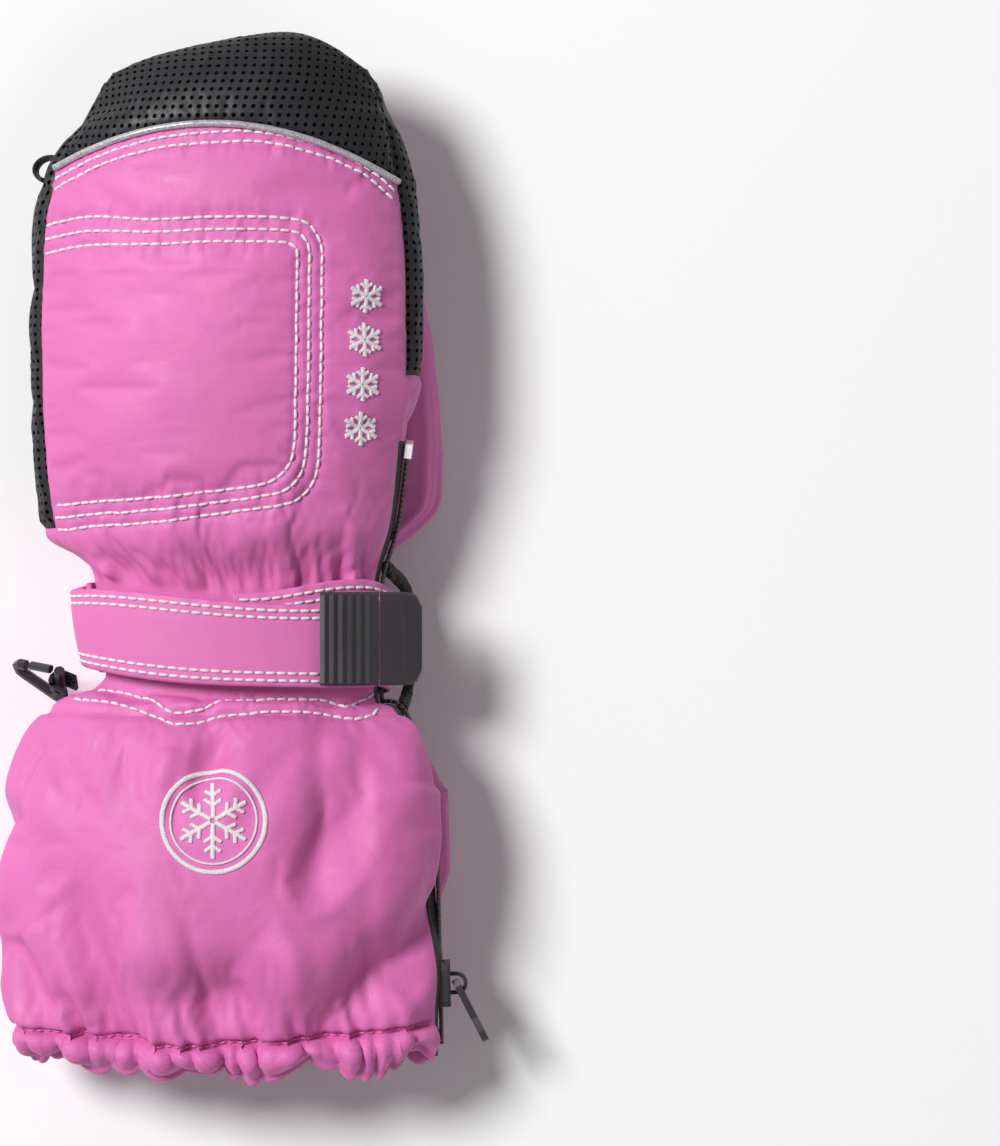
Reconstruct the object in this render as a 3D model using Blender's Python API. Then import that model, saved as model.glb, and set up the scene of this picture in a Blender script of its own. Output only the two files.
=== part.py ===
"""A child's padded ski mitten for the left hand, lying on its palm with the thumb tucked under.

+Y runs from the cuff to the fingertips, +X to the thumb side and +Z up.  All sizes below are
millimetres; a mesh is scaled to metres when it is made.  At the end everything is moved so that
the origin is the middle of the mitten's box, on the surface that it lies on.

One body surface, a grid of loops from the hem to the fingertips, carries every sewn layer.  A panel
is a patch of that grid between two offsets, so that shell, wadding, lining and strap all nest.
"""

import math

import bmesh
import bpy
import numpy as np
from mathutils import Vector

MM = 0.001

# ---- Driving sizes, millimetres -------------------------------------------------------------
HAND_REACH = 120.5  # wrist line to fingertip
CUFF_REACH = 118.5  # wrist line to hem
HAND_WIDTH = 84.5  # between the two side seams, at the knuckles
HAND_HEIGHT = 47.0  # crown of the back above the floor
WRIST_WIDTH = 61.5  # under the strap
WRIST_HEIGHT = 27.0
WRIST_LIFT = 6.0  # the gathered wrist stands clear of the floor
CUFF_WIDTH = 97.5
CUFF_HEIGHT = 43.0
HEM_WIDTH = 92.0
HEM_HEIGHT = 29.0
HEM_DEPTH = 8.0  # elastic tunnel of the hem
HEM_BOW = 5.0  # the hem's middle hangs this much lower than its sides

THUMB_REACH = 103.5  # wrist line to the thumb's tip
THUMB_THICKNESS = 19.0
THUMB_BASE_WIDTH = 43.0
THUMB_TIP_WIDTH = 21.0
THUMB_OUTER = 50.5  # the outer edge's greatest distance from the middle line
THUMB_LEAN = 12.5  # how far the outer edge runs in towards the tip
THUMB_TUCK = 7.0  # and towards the wrist
THUMB_NEST = 0.6  # between the thumb's top and the palm that lies on it

SHELL = 0.9  # outer fabric and coated palm
WADDING = 2.0
LINING = 0.6
ELASTIC = 0.8
LAYER_GAP = 0.3  # between neighbouring layers
SEAM_GAP = 0.3  # between neighbouring panels

STRAP_WIDTH = 24.5
STRAP_FABRIC = 1.4
STRAP_MIDDLE = -18.5  # the strap's middle line, behind the wrist line
CUFF_SEAM_PAST = 5.25  # the cuff's seam behind the strap's edge
GATHER_PAST = 12.25  # the end of the gathered wrist ahead of the strap's other edge
PILE = 0.5  # loop and hook patches

ZIP_STRIP = 10.0  # both tapes together, as they show in the side seam
ZIP_END = 26.0  # the top of the zip, ahead of the wrist line
ZIP_PAST_HEM = 3.8  # the zip's line beyond half the hem's width
ZIP_PAST_CUFF = 1.35  # and beyond half the cuff's
CHAIN_WIDTH = 5.4
CHAIN_HEIGHT = 1.2
CHAIN_PITCH = 2.2
PIPING_RADIUS = 0.8
PIPING_BACK = 32.0  # behind the fingertips, at the little-finger side
CAP_BACK = 19.0
TIP_BACK = 10.0
THUMB_GUSSET = 41.0  # where the side strip begins on the thumb side
KNUCKLE_LINE = 62.0

# ---- Counts ---------------------------------------------------------------------------------
ACROSS = 14  # grid faces over the back, and as many under the palm
SIDE = 2  # grid faces up each side strip
RING = 2 * (ACROSS + 1) + 2 * (SIDE - 1)
THUMB_ROUND = 16

COLOURS = {
    "pink_shell": ((0.78, 0.22, 0.53), 0.55),
    "pink_cuff": ((0.73, 0.19, 0.48), 0.55),
    "pink_strap": ((0.80, 0.22, 0.54), 0.55),
    "black_grip": ((0.028, 0.025, 0.030), 0.6),
    "black_plastic": ((0.035, 0.032, 0.036), 0.35),
    "black_webbing": ((0.02, 0.02, 0.022), 0.8),
    "reflective": ((0.55, 0.52, 0.56), 0.3),
    "white_moulding": ((0.8, 0.8, 0.8), 0.4),
    "wadding": ((0.82, 0.82, 0.80), 0.9),
    "lining": ((0.05, 0.05, 0.055), 0.9),
    "elastic": ((0.70, 0.70, 0.70), 0.8),
}


# ---- Small tools ----------------------------------------------------------------------------
def clear_scene():
    for obj in list(bpy.data.objects):
        bpy.data.objects.remove(obj, do_unlink=True)


def material(name):
    found = bpy.data.materials.get(name)
    if found:
        return found
    colour, roughness = COLOURS[name]
    made = bpy.data.materials.new(name)
    made.use_nodes = True
    shader = made.node_tree.nodes["Principled BSDF"]
    shader.inputs["Base Color"].default_value = (*colour, 1.0)
    shader.inputs["Roughness"].default_value = roughness
    shader.inputs["Metallic"].default_value = 0.0
    return made


def add_object(name, points, faces, look, origin=(0, 0, 0), parent=None, crease=50):
    """A closed mesh from points in millimetres, with its origin where its joint or centre is."""
    origin = Vector(origin)
    mesh = bpy.data.meshes.new(name)
    mesh.from_pydata([(Vector(p) - origin) * MM for p in points], [], faces)
    work = bmesh.new()
    work.from_mesh(mesh)
    bmesh.ops.recalc_face_normals(work, faces=work.faces)
    work.to_mesh(mesh)
    work.free()
    mesh.shade_smooth()
    mesh.set_sharp_from_angle(angle=math.radians(crease))
    mesh.materials.append(material(look))
    obj = bpy.data.objects.new(name, mesh)
    bpy.context.scene.collection.objects.link(obj)
    obj.location = origin * MM
    if parent:
        obj.parent = parent
        obj.location = origin * MM - parent.matrix_world.translation
    bpy.context.view_layer.update()
    return obj


def as_cutter(obj):
    obj.hide_render = True
    obj.display_type = "WIRE"
    return obj


def boolean(obj, other, operation):
    modifier = obj.modifiers.new(operation.lower() + "_" + other.name, "BOOLEAN")
    modifier.operation = operation
    modifier.object = other
    modifier.solver = "EXACT"
    return modifier


def loft(rings):
    """Points and faces of a closed skin over rings of equal count, with flat ends."""
    count = len(rings[0])
    points = [p for ring in rings for p in ring]
    faces = []
    for row in range(len(rings) - 1):
        for i in range(count):
            j = (i + 1) % count
            faces.append((row * count + i, row * count + j, (row + 1) * count + j, (row + 1) * count + i))
    faces.append(tuple(reversed(range(count))))
    last = (len(rings) - 1) * count
    faces.append(tuple(last + i for i in range(count)))
    return points, faces


def mix(a, b, share):
    return a + (b - a) * share


def ease(x, low, high):
    """0 below low and 1 above high, with a smooth rise between."""
    share = min(max((x - low) / (high - low), 0.0), 1.0)
    return share * share * (3 - 2 * share)


def through(values, at):
    """A smooth curve without overshoot through values at 0, 1, 2 and so on, read at one place."""
    values = np.asarray(values, float)
    steps = np.diff(values, axis=0)
    before, after = steps[:-1], steps[1:]
    total = np.where(before + after == 0, 1, before + after)
    inner = np.where(before * after > 0, 2 * before * after / total, 0)
    slopes = np.concatenate([steps[:1], inner, steps[-1:]])
    i = min(int(at), len(values) - 2)
    u = at - i
    start = (2 * u**3 - 3 * u**2 + 1) * values[i] + (u**3 - 2 * u**2 + u) * slopes[i]
    end = (3 * u**2 - 2 * u**3) * values[i + 1] + (u**3 - u**2) * slopes[i + 1]
    return start + end


# ---- The body surface -----------------------------------------------------------------------
# Stations from the hem to the tip.  Each seam of the mitten lies on one of them.
HEM, HEM_TOP, CUFF_WIDE, CUFF_UPPER, CUFF_SEAM, STRAP_LOW, STRAP_HIGH = range(7)
GATHER, ZIP_TOP, GUSSET_POINT, KNUCKLES, PIPING, CAP, TIP = range(7, 14)
ROWS_BETWEEN = (1, 4, 3, 2, 1, 1, 1, 2, 1, 2, 3, 1, 1)

FIELDS = (
    "y",  # on the little-finger side
    "skew",  # how much further along the thumb side is
    "bow",  # how far the middle bows towards the tip
    "centre",
    "width",
    "crown",
    "floor",
    "left_mid",  # height of the middle of the little-finger strip
    "left_half",  # half that strip's height
    "right_mid",
    "right_half",
    "left_out",  # how far the strip's middle stands out from its seams
    "right_out",
    "back_left",  # how far the palm's edge stays behind the back's
    "back_right",
    "inset",  # how far in the palm's little-finger seam lies
    "fold",  # depth of the gathers
)

ZIP_HALF = ZIP_STRIP / 2
ZIP_OUT = (2, 0.6)  # the strip with the zip lies nearly flat
CUFF_WIDE_AT = -0.68 * CUFF_REACH
CUFF_UPPER_AT = -0.46 * CUFF_REACH
CUFF_UPPER_WIDTH = 0.965 * CUFF_WIDTH
WRIST_SEAM = 20.0  # height of the middle of both side strips at the cuff and the wrist
THUMB_SEAM = THUMB_THICKNESS + 9.0  # height of the thumb-side strip's middle, over the thumb
GUSSET_HALF = 5.6
FOLD_WAVES = 3.5
THUMB_ROOT = STRAP_MIDDLE + STRAP_WIDTH / 2 - 1.75  # inside the hand, beside the strap
ROOT_END = THUMB_ROOT + 20.0  # up to here the thumb swings down and out of the hand
PALM_CLIMB = (THUMB_ROOT + 6.0, THUMB_ROOT + 22.0)  # the palm climbs onto the thumb between these places
NEST_RAMP = (13.0, 3.0)  # and comes down beside it from this far inside its edge to this far past
LEFT_RISE, RIGHT_RISE = 0.35, 0.3  # shares of the palm over which it turns up to its seams
TIP_BLUNT = 3.0  # how far the blunt tip bulges forward


def station(y, centre, width, crown, floor, left, right, skew=0, bow=0, out=(2, 2), back=(0, 0),
            inset=3, fold=0):
    """One row of FIELDS; left, right, out and back each give the two sides' values."""
    return [y, skew, bow, centre, width, crown, floor, *left, *right, *out, *back, inset, fold]


def stations():
    hand = HAND_WIDTH
    top = HAND_HEIGHT
    reach = HAND_REACH
    neck = WRIST_LIFT + WRIST_HEIGHT
    cuff = CUFF_REACH
    side = WRIST_SEAM
    over = THUMB_SEAM
    strap_low = STRAP_MIDDLE - STRAP_WIDTH / 2
    strap_high = STRAP_MIDDLE + STRAP_WIDTH / 2
    return [
        station(-cuff + 0.7 * HEM_BOW, 1.5, HEM_WIDTH, 4 + HEM_HEIGHT, 3, (side - 2, 4), (side, ZIP_HALF),
                bow=-HEM_BOW, out=ZIP_OUT, fold=1.2),
        station(-cuff + HEM_DEPTH + 0.6 * HEM_BOW, 1.0, HEM_WIDTH + 2.5, 7 + HEM_HEIGHT, 1.5,
                (side - 2, 4), (side, ZIP_HALF), bow=-0.9 * HEM_BOW, out=ZIP_OUT, fold=1.5),
        station(CUFF_WIDE_AT, -0.75, CUFF_WIDTH, CUFF_HEIGHT, 0, (side - 1, 5), (side, ZIP_HALF),
                out=ZIP_OUT, fold=1.5),
        station(CUFF_UPPER_AT, -0.5, CUFF_UPPER_WIDTH, CUFF_HEIGHT - 1, 0, (side - 1, 5), (side, ZIP_HALF),
                out=ZIP_OUT, fold=1.0),
        station(strap_low - CUFF_SEAM_PAST, 0.5, mix(WRIST_WIDTH, CUFF_WIDTH, 0.52), CUFF_HEIGHT - 6, 1.5,
                (side, 5), (side, ZIP_HALF), out=ZIP_OUT),
        station(strap_low + 2.5, 4.5, WRIST_WIDTH, neck, WRIST_LIFT, (side, 5), (side, ZIP_HALF),
                skew=-4.5, bow=-1.5, out=ZIP_OUT),
        station(strap_high + 1.5, 3.0, WRIST_WIDTH + 3, neck + 1, WRIST_LIFT, (side, 5), (side, ZIP_HALF),
                skew=-3.5, bow=-1.5, out=ZIP_OUT),
        station(strap_high + GATHER_PAST, 0.2, 0.915 * hand, mix(neck, top, 0.6), 3, (side - 1, 6),
                (over - 6, ZIP_HALF), out=ZIP_OUT, inset=4, fold=0.9),
        station(ZIP_END, 0, 0.975 * hand, top - 1, 0, (side, 8), (over - 1, ZIP_HALF), out=(2.2, 1.0),
                inset=5),
        station(THUMB_GUSSET, 0.9, hand, top, 0, (side, 9), (over, GUSSET_HALF), out=(2.4, 3), inset=5.5),
        station(KNUCKLE_LINE, 1.0, 0.995 * hand, top, 0, (side, 9), (over, GUSSET_HALF), out=(2.4, 3.2),
                inset=5.5),
        station(reach - PIPING_BACK, 1.5, 0.935 * hand, top - 3, 0.5, (side + 0.5, 8),
                (over - 0.5, GUSSET_HALF), skew=-3.5, bow=11, out=(2.4, 3.5), back=(6, 2), inset=5),
        station(reach - CAP_BACK, 4.2, 0.805 * hand, top - 8, 3, (side + 0.5, 7.5), (over - 1.5, GUSSET_HALF),
                skew=-2, bow=11.5, out=(2.2, 2.5), back=(9, 6), inset=3),
        station(reach - TIP_BACK, 4.5, 0.71 * hand, top - 14, 9, (side + 1, 7), (over - 2, GUSSET_HALF),
                skew=-1, bow=9, out=(2, 2), back=(14, 10), inset=1),
    ]


def thumb_edges(y):
    """The thumb's edge on the palm side and on the outer side, at one place along the hand."""
    share = min(max(y / THUMB_REACH, 0.0), 1.0)
    outer = THUMB_OUTER - THUMB_LEAN * ease(share, 0.25, 1.05) - THUMB_TUCK * (1 - ease(share, -0.1, 0.16))
    width = mix(THUMB_BASE_WIDTH, THUMB_TIP_WIDTH, ease(share, 0.02, 0.98))
    return outer - width, outer


def zip_x(y, level):
    """The side seam with the zip runs straight up the cuff, then bends in to the wrist."""
    if y > CUFF_UPPER_AT:
        return level
    straight_low = HEM_WIDTH / 2 + ZIP_PAST_HEM
    straight_high = CUFF_UPPER_WIDTH / 2 + ZIP_PAST_CUFF
    return mix(straight_low, straight_high, (y + CUFF_REACH) / (CUFF_UPPER_AT + CUFF_REACH))


def ring_points(values):
    """One loop: over the back, down the thumb side, under the palm, up the little-finger side."""
    at = dict(zip(FIELDS, values))
    left = at["centre"] - at["width"] / 2
    right = at["centre"] + at["width"] / 2
    if at["y"] <= CUFF_UPPER_AT:
        right = zip_x(at["y"], right) - at["right_out"]
    nest = max(at["floor"], THUMB_THICKNESS + THUMB_NEST)
    raised = ease(at["y"], *PALM_CLIMB)
    left_seam = at["left_mid"] + at["left_half"]
    right_seam = at["right_mid"] + at["right_half"]
    seams = (left_seam + right_seam) / 2
    points = []

    def along(share, setback):
        lag = mix(at["back_left"], at["back_right"], share) if setback else 0
        return at["y"] + at["skew"] * share + at["bow"] * 4 * share * (1 - share) - lag

    for k in range(ACROSS + 1):
        s = k / ACROSS
        seam = mix(left_seam, right_seam, s)
        dome = (at["crown"] - seams) * (1 - abs(2 * s - 1) ** 2.4)
        fold = at["fold"] * math.sin(2 * math.pi * FOLD_WAVES * s) * math.sin(math.pi * s)
        points.append((mix(left, right, s), along(s, False), seam + dome + fold))
    points.append((right + at["right_out"], along(1, False) - at["back_right"] / 2, at["right_mid"]))
    inner, _ = thumb_edges(at["y"])
    palm_left, palm_right = left + at["inset"], right
    for k in range(ACROSS, -1, -1):
        s = k / ACROSS
        x = mix(palm_left, palm_right, s)
        base = mix(at["floor"], nest, raised * ease(x, inner - NEST_RAMP[0], inner + NEST_RAMP[1]))
        left_rise = (at["left_mid"] - at["left_half"] - at["floor"]) * max(0.0, 1 - s / LEFT_RISE) ** 2
        right_low = at["right_mid"] - at["right_half"] - mix(at["floor"], nest, raised)
        right_rise = right_low * max(0.0, 1 - (1 - s) / RIGHT_RISE) ** 2
        points.append((x, along(s, True), max(0.0, base + left_rise + right_rise)))
    points.append((left - at["left_out"], along(0, False) - at["back_left"] / 2, at["left_mid"]))
    return points


def body_grid():
    """Grid points, with those across the middle of the blunt tip last, and the row of each station."""
    table = stations()
    rows = []
    row_of = [0]
    for i, count in enumerate(ROWS_BETWEEN):
        rows += [ring_points(through(table, i + step / count)) for step in range(count)]
        row_of.append(row_of[-1] + count)
    rows.append(ring_points(table[-1]))
    points = [p for row in rows for p in row]
    tip = rows[-1]
    across = []
    for k in range(1, ACROSS):
        above = Vector(tip[k])
        below = Vector(tip[2 * ACROSS + SIDE - k])
        across.append((above + below) / 2 + Vector((0, TIP_BLUNT * math.sin(math.pi * k / ACROSS) ** 0.5, 0)))
    return points + [tuple(p) for p in across], row_of


def grid_faces(row_of):
    """Faces keyed by (row, column); the tip's strip uses the row after the last one."""
    last = row_of[TIP]
    faces = {}
    for row in range(last):
        for i in range(RING):
            j = (i + 1) % RING
            faces[row, i] = (row * RING + i, row * RING + j, (row + 1) * RING + j, (row + 1) * RING + i)
    middle = [last * RING + RING - 1]
    middle += [(last + 1) * RING + k for k in range(ACROSS - 1)]
    middle.append(last * RING + ACROSS + 1)
    for k in range(ACROSS):
        above = (last * RING + k, last * RING + k + 1)
        below = (last * RING + 2 * ACROSS + SIDE - k, last * RING + 2 * ACROSS + SIDE - k - 1)
        faces[last, k] = (above[0], above[1], middle[k + 1], middle[k])
        faces[last, ACROSS + SIDE + k] = (middle[k], middle[k + 1], below[1], below[0])
    return faces


def shell_normals(points, faces):
    """Outward directions, lengthened at corners so that a layer keeps its thickness there."""
    work = bmesh.new()
    verts = [work.verts.new(p) for p in points]
    for face in faces:
        work.faces.new([verts[i] for i in face])
    work.normal_update()
    work.verts.index_update()
    normals = [v.normal * min(v.calc_shell_factor(), 1.35) for v in verts]
    work.free()
    return normals


class Surface:
    """A grid of points with outward directions, from which panels are cut."""

    def __init__(self, points, faces):
        self.faces = faces
        self.points = [Vector(p) for p in points]
        self.normals = shell_normals(points, list(faces.values()))

    def at(self, index, offset):
        return self.points[index] + self.normals[index] * offset

    def split(self, quad):
        """A face's triangles, alike in every layer, so that two layers never cross."""
        if len(quad) == 3:
            return [quad]
        a, b, c, d = quad
        return [(a, b, c), (a, c, d)] if self.short(a, c, b, d) else [(a, b, d), (b, c, d)]

    def short(self, a, c, b, d):
        one = (self.points[a] - self.points[c]).length
        return one <= (self.points[b] - self.points[d]).length

    def panel(self, keys, outer, inner, gap=SEAM_GAP):
        """Points and faces of a closed patch between two offsets, drawn in at its edges."""
        quads = [self.faces[key] for key in keys]
        sides = {}
        for quad in quads:
            for a, b in zip(quad, quad[1:] + quad[:1]):
                sides[a, b] = quad
        rim = [edge for edge in sides if (edge[1], edge[0]) not in sides]
        pull = {}
        for a, b in rim:
            quad = sides[a, b]
            centre = sum((self.points[i] for i in quad), Vector()) / len(quad)
            line = (self.points[b] - self.points[a]).normalized()
            inward = centre - self.points[a]
            inward = (inward - line * inward.dot(line)).normalized()
            for end in (a, b):
                pull.setdefault(end, []).append(inward)
        used = sorted({i for quad in quads for i in quad})
        place = {index: k for k, index in enumerate(used)}
        total = len(used)
        points = []
        for offset in (outer, inner):
            for index in used:
                point = self.at(index, offset)
                if index in pull:
                    ways = pull[index]
                    middle = sum(ways, Vector())
                    if middle.length > 0.3:
                        middle.normalize()
                        point = point + middle * (gap / 2) / max(middle.dot(ways[0]), 0.5)
                points.append(point)
        corners = [part for quad in quads for part in self.split(quad)]
        faces = [tuple(place[i] for i in part) for part in corners]
        faces += [tuple(place[i] + total for i in reversed(part)) for part in corners]
        faces += [(place[b], place[a], place[a] + total, place[b] + total) for a, b in rim]
        return points, faces

    def filled(self, offset, mouth):
        """The whole surface at one offset, closed over its mouth, as a solid."""
        points = [self.at(i, offset) for i in range(len(self.points))]
        corners = [part for quad in self.faces.values() for part in self.split(quad)]
        return points, corners + [tuple(mouth)]


# ---- The thumb ------------------------------------------------------------------------------
THUMB_ROWS = (THUMB_ROOT, THUMB_ROOT + 8, THUMB_ROOT + 14, ROOT_END, ROOT_END + 8, 32, 44, 56, 68, 79, 89,
              95, 99, 101.4)
BORE_ROWS = THUMB_ROWS[:6]  # the part of the thumb's hollow that opens into the hand
ROUND_FROM = 13.5  # the tip is rounded over this length
ROOT_CENTRE = (17.0, WRIST_LIFT + WRIST_HEIGHT / 2)  # where its root lies across the palm and how high
ROOT_WIDE = 0.70  # the root's width against the thumb's own
ROOT_HALF_HEIGHT = 0.38 * WRIST_HEIGHT
OVAL = 0.85  # under 1, a section is fuller than an ellipse


def thumb_ring(y, inset=0.0):
    """One section of the thumb: a soft oval, flat where it lies on the floor."""
    inner, outer = thumb_edges(y)
    root = ease(y, THUMB_ROOT, ROOT_END)
    closing = max(0.0, y - (THUMB_REACH - ROUND_FROM)) / ROUND_FROM
    round_tip = math.sqrt(max(0.0, 1 - closing**2))
    half_width = mix(ROOT_WIDE, 1, root) * round_tip * (outer - inner) / 2 - inset
    half_height = mix(ROOT_HALF_HEIGHT, THUMB_THICKNESS / 2, root) * round_tip**0.8 - inset
    centre_x = mix(ROOT_CENTRE[0], (inner + outer) / 2, root)
    centre_z = mix(ROOT_CENTRE[1], THUMB_THICKNESS / 2, root)
    ring = []
    for i in range(THUMB_ROUND):
        angle = -2 * math.pi * i / THUMB_ROUND
        across, up = math.cos(angle), math.sin(angle)
        x = centre_x + half_width * math.copysign(abs(across) ** OVAL, across)
        z = centre_z + half_height * math.copysign(abs(up) ** OVAL, up)
        ring.append((x, y, max(z, 0.0)))
    return ring


def thumb_surface():
    rings = [thumb_ring(y) for y in THUMB_ROWS]
    points = [p for ring in rings for p in ring]
    inner, outer = thumb_edges(THUMB_REACH)
    points.append(((inner + outer) / 2, THUMB_REACH, THUMB_THICKNESS / 2))
    faces = {}
    count = THUMB_ROUND
    for row in range(len(rings) - 1):
        for i in range(count):
            j = (i + 1) % count
            faces[row, i] = (row * count + i, row * count + j, (row + 1) * count + j, (row + 1) * count + i)
    last = len(rings) - 1
    for i in range(count):
        faces[last, i] = (last * count + i, last * count + (i + 1) % count, len(points) - 1)
    return Surface(points, faces)


# ---- Layers ---------------------------------------------------------------------------------
UNDER_SHELL = SHELL + LAYER_GAP
UNDER_WADDING = UNDER_SHELL + WADDING + LAYER_GAP
UNDER_ELASTIC = UNDER_SHELL + ELASTIC + LAYER_GAP
HEM_ROLL = 0.6  # the doubled hem stands this much proud
TOP_COLUMNS = tuple(range(ACROSS))
RIGHT_COLUMNS = (ACROSS, ACROSS + 1)
PALM_COLUMNS = tuple(range(ACROSS + SIDE, 2 * ACROSS + SIDE))
LEFT_LOWER = 2 * ACROSS + SIDE
LEFT_UPPER = LEFT_LOWER + 1
ALL_COLUMNS = tuple(range(RING))
FABRIC_COLUMNS = tuple(c for c in ALL_COLUMNS if c not in RIGHT_COLUMNS)


def patch(row_of, start, end, columns):
    return [(row, column) for row in range(row_of[start], row_of[end]) for column in columns]


def tip_strip(row_of):
    last = row_of[TIP]
    return [(last, k) for k in TOP_COLUMNS] + [(last, ACROSS + SIDE + k) for k in TOP_COLUMNS]


def build_shell(body, row_of):
    """The outer pieces, each cut from the body surface along the mitten's seams."""
    back = patch(row_of, CUFF_SEAM, GATHER, TOP_COLUMNS + (LEFT_UPPER,))
    back += patch(row_of, GATHER, PIPING, TOP_COLUMNS)
    back += patch(row_of, ZIP_TOP, GUSSET_POINT, RIGHT_COLUMNS)
    gusset = patch(row_of, GATHER, TIP, (LEFT_LOWER, LEFT_UPPER)) + tip_strip(row_of)
    gusset += patch(row_of, GUSSET_POINT, TIP, RIGHT_COLUMNS)
    cuff = (HEM_TOP, CUFF_SEAM)
    pieces = {
        "cuff_back_panel": (patch(row_of, *cuff, TOP_COLUMNS + (LEFT_UPPER,)), "pink_cuff"),
        "cuff_palm_panel": (patch(row_of, *cuff, PALM_COLUMNS + (LEFT_LOWER,)), "pink_cuff"),
        "back_panel": (back, "pink_shell"),
        "wrist_palm_panel": (patch(row_of, CUFF_SEAM, GATHER, PALM_COLUMNS + (LEFT_LOWER,)), "pink_shell"),
        "palm_panel": (patch(row_of, GATHER, TIP, PALM_COLUMNS), "black_grip"),
        "side_gusset": (gusset, "black_grip"),
        "fingertip_cap": (patch(row_of, PIPING, TIP, TOP_COLUMNS), "black_grip"),
        "zip_tape_back": (patch(row_of, HEM, ZIP_TOP, RIGHT_COLUMNS[:1]), "black_webbing"),
        "zip_tape_palm": (patch(row_of, HEM, ZIP_TOP, RIGHT_COLUMNS[1:]), "black_webbing"),
    }
    for name, (keys, look) in pieces.items():
        add_object(name, *body.panel(keys, 0.0, -SHELL), look)
    hem = patch(row_of, HEM, HEM_TOP, FABRIC_COLUMNS)
    add_object("cuff_hem", *body.panel(hem, HEM_ROLL, -SHELL), "pink_cuff")


def build_inner_layers(body, row_of):
    """Wadding and lining of the hand, the thin lining of the cuff, and the two elastics."""
    hand = patch(row_of, STRAP_HIGH, TIP, ALL_COLUMNS) + tip_strip(row_of)
    wadding = body.panel(hand, -UNDER_SHELL, -UNDER_SHELL - WADDING)
    add_object("hand_wadding", *wadding, "wadding")
    lining = body.panel(hand, -UNDER_WADDING, -UNDER_WADDING - LINING)
    add_object("hand_lining", *lining, "lining")
    cuff = patch(row_of, HEM, STRAP_HIGH, ALL_COLUMNS)
    add_object("cuff_lining", *body.panel(cuff, -UNDER_ELASTIC, -UNDER_ELASTIC - LINING), "lining")
    hem = patch(row_of, HEM, HEM_TOP, FABRIC_COLUMNS)
    add_object("hem_elastic", *body.panel(hem, -UNDER_SHELL, -UNDER_SHELL - ELASTIC, 2.0), "elastic")
    wrist = patch(row_of, STRAP_LOW, STRAP_HIGH, PALM_COLUMNS)
    add_object("wrist_elastic", *body.panel(wrist, -UNDER_SHELL, -UNDER_SHELL - ELASTIC, 4.0), "elastic")


def build_thumb(body, thumb):
    """The thumb's layers stop at the hand's outside; the hand is cut open where they join."""
    rows = range(len(THUMB_ROWS))
    outer = [(row, i) for row in rows for i in (THUMB_ROUND - 1, *range(7))]
    inner = [(row, i) for row in rows for i in range(7, THUMB_ROUND - 1)]
    whole = [(row, i) for row in rows for i in range(THUMB_ROUND)]
    envelope = as_cutter(add_object("hand_envelope", *body.filled(LAYER_GAP, range(RING)), "lining"))
    hollow = [thumb_ring(y, UNDER_WADDING + LINING) for y in BORE_ROWS]
    bore = as_cutter(add_object("thumb_bore", *loft(hollow), "lining"))
    pieces = (
        ("thumb_back_panel", outer, 0.0, SHELL, "pink_shell"),
        ("thumb_palm_panel", inner, 0.0, SHELL, "black_grip"),
        ("thumb_wadding", whole, UNDER_SHELL, WADDING, "wadding"),
        ("thumb_lining", whole, UNDER_WADDING, LINING, "lining"),
    )
    for name, keys, depth, thickness, look in pieces:
        made = add_object(name, *thumb.panel(keys, -depth, -depth - thickness), look)
        boolean(made, envelope, "DIFFERENCE")
    for name in ("palm_panel", "wrist_palm_panel", "hand_wadding", "hand_lining"):
        boolean(bpy.data.objects[name], bore, "DIFFERENCE")


# ---- Frames for small hardware --------------------------------------------------------------
def place(points, origin, u, v, w):
    """Points given along three directions u, v, w from an origin, in the mitten's frame."""
    return [origin + u * p[0] + v * p[1] + w * p[2] for p in points]


def ring_about(centre, side, up, radii, count=8):
    """A closed ring of points round a centre, in the plane of two directions."""
    turns = (2 * math.pi * (i + 0.5) / count for i in range(count))
    return [centre + side * (radii[0] * math.cos(t)) + up * (radii[1] * math.sin(t)) for t in turns]


def swept(path, radii, up, count=8):
    """A tube of oval section along points; up is the direction that the second radius takes."""
    rings = []
    for i, point in enumerate(path):
        along = (path[min(i + 1, len(path) - 1)] - path[max(i - 1, 0)]).normalized()
        side = along.cross(up).normalized()
        rings.append(ring_about(point, side, side.cross(along), radii, count))
    return loft(rings)


def slab(outline, low, high):
    """A flat outline, given as (u, v) pairs, between two heights, as rings for loft."""
    return [[(u, v, low) for u, v in outline], [(u, v, high) for u, v in outline]]


# ---- The zip --------------------------------------------------------------------------------
CHAIN_START = 3.0  # from the hem's edge to the chain's lower end
STOP_LENGTH = 3.2
SLIDER_AT = -98.5  # where the closed zip's slider lies
SLIDER_LENGTH = 10.5
SLIDER_WIDTH = 8.6
SLIDER_PLATE = 1.4
PULL_LENGTH = 15.0
PULL_WIDTH = 5.2
PULL_PLATE = 1.9
PULL_REST = math.radians(26)  # how far the pull stands out from the cuff
EYE_INNER = 1.7  # the slider's bow, round the pull's cross bar
EYE_OUTER = 2.6
EYE_WIDTH = 1.7
CROSS_BAR = 1.5


def seam_line(body, row_of):
    """The middle of the side seam with the zip: points and outward directions, hem to top."""
    line = []
    for row in range(row_of[HEM], row_of[ZIP_TOP] + 1):
        index = row * RING + ACROSS + 1
        line.append((body.points[index], body.normals[index].normalized()))
    return line


def along_line(line, y):
    """Point, outward direction and running direction where the line passes one y."""
    above = [i for i, (point, _) in enumerate(line) if point.y >= y]
    i = max(above[0] if above else len(line) - 1, 1)
    (a, na), (b, nb) = line[i - 1], line[i]
    share = (y - a.y) / (b.y - a.y)
    run = (b - a).normalized()
    out = na.lerp(nb, share)
    out = (out - run * out.dot(run)).normalized()
    return a.lerp(b, share), out, run


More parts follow.
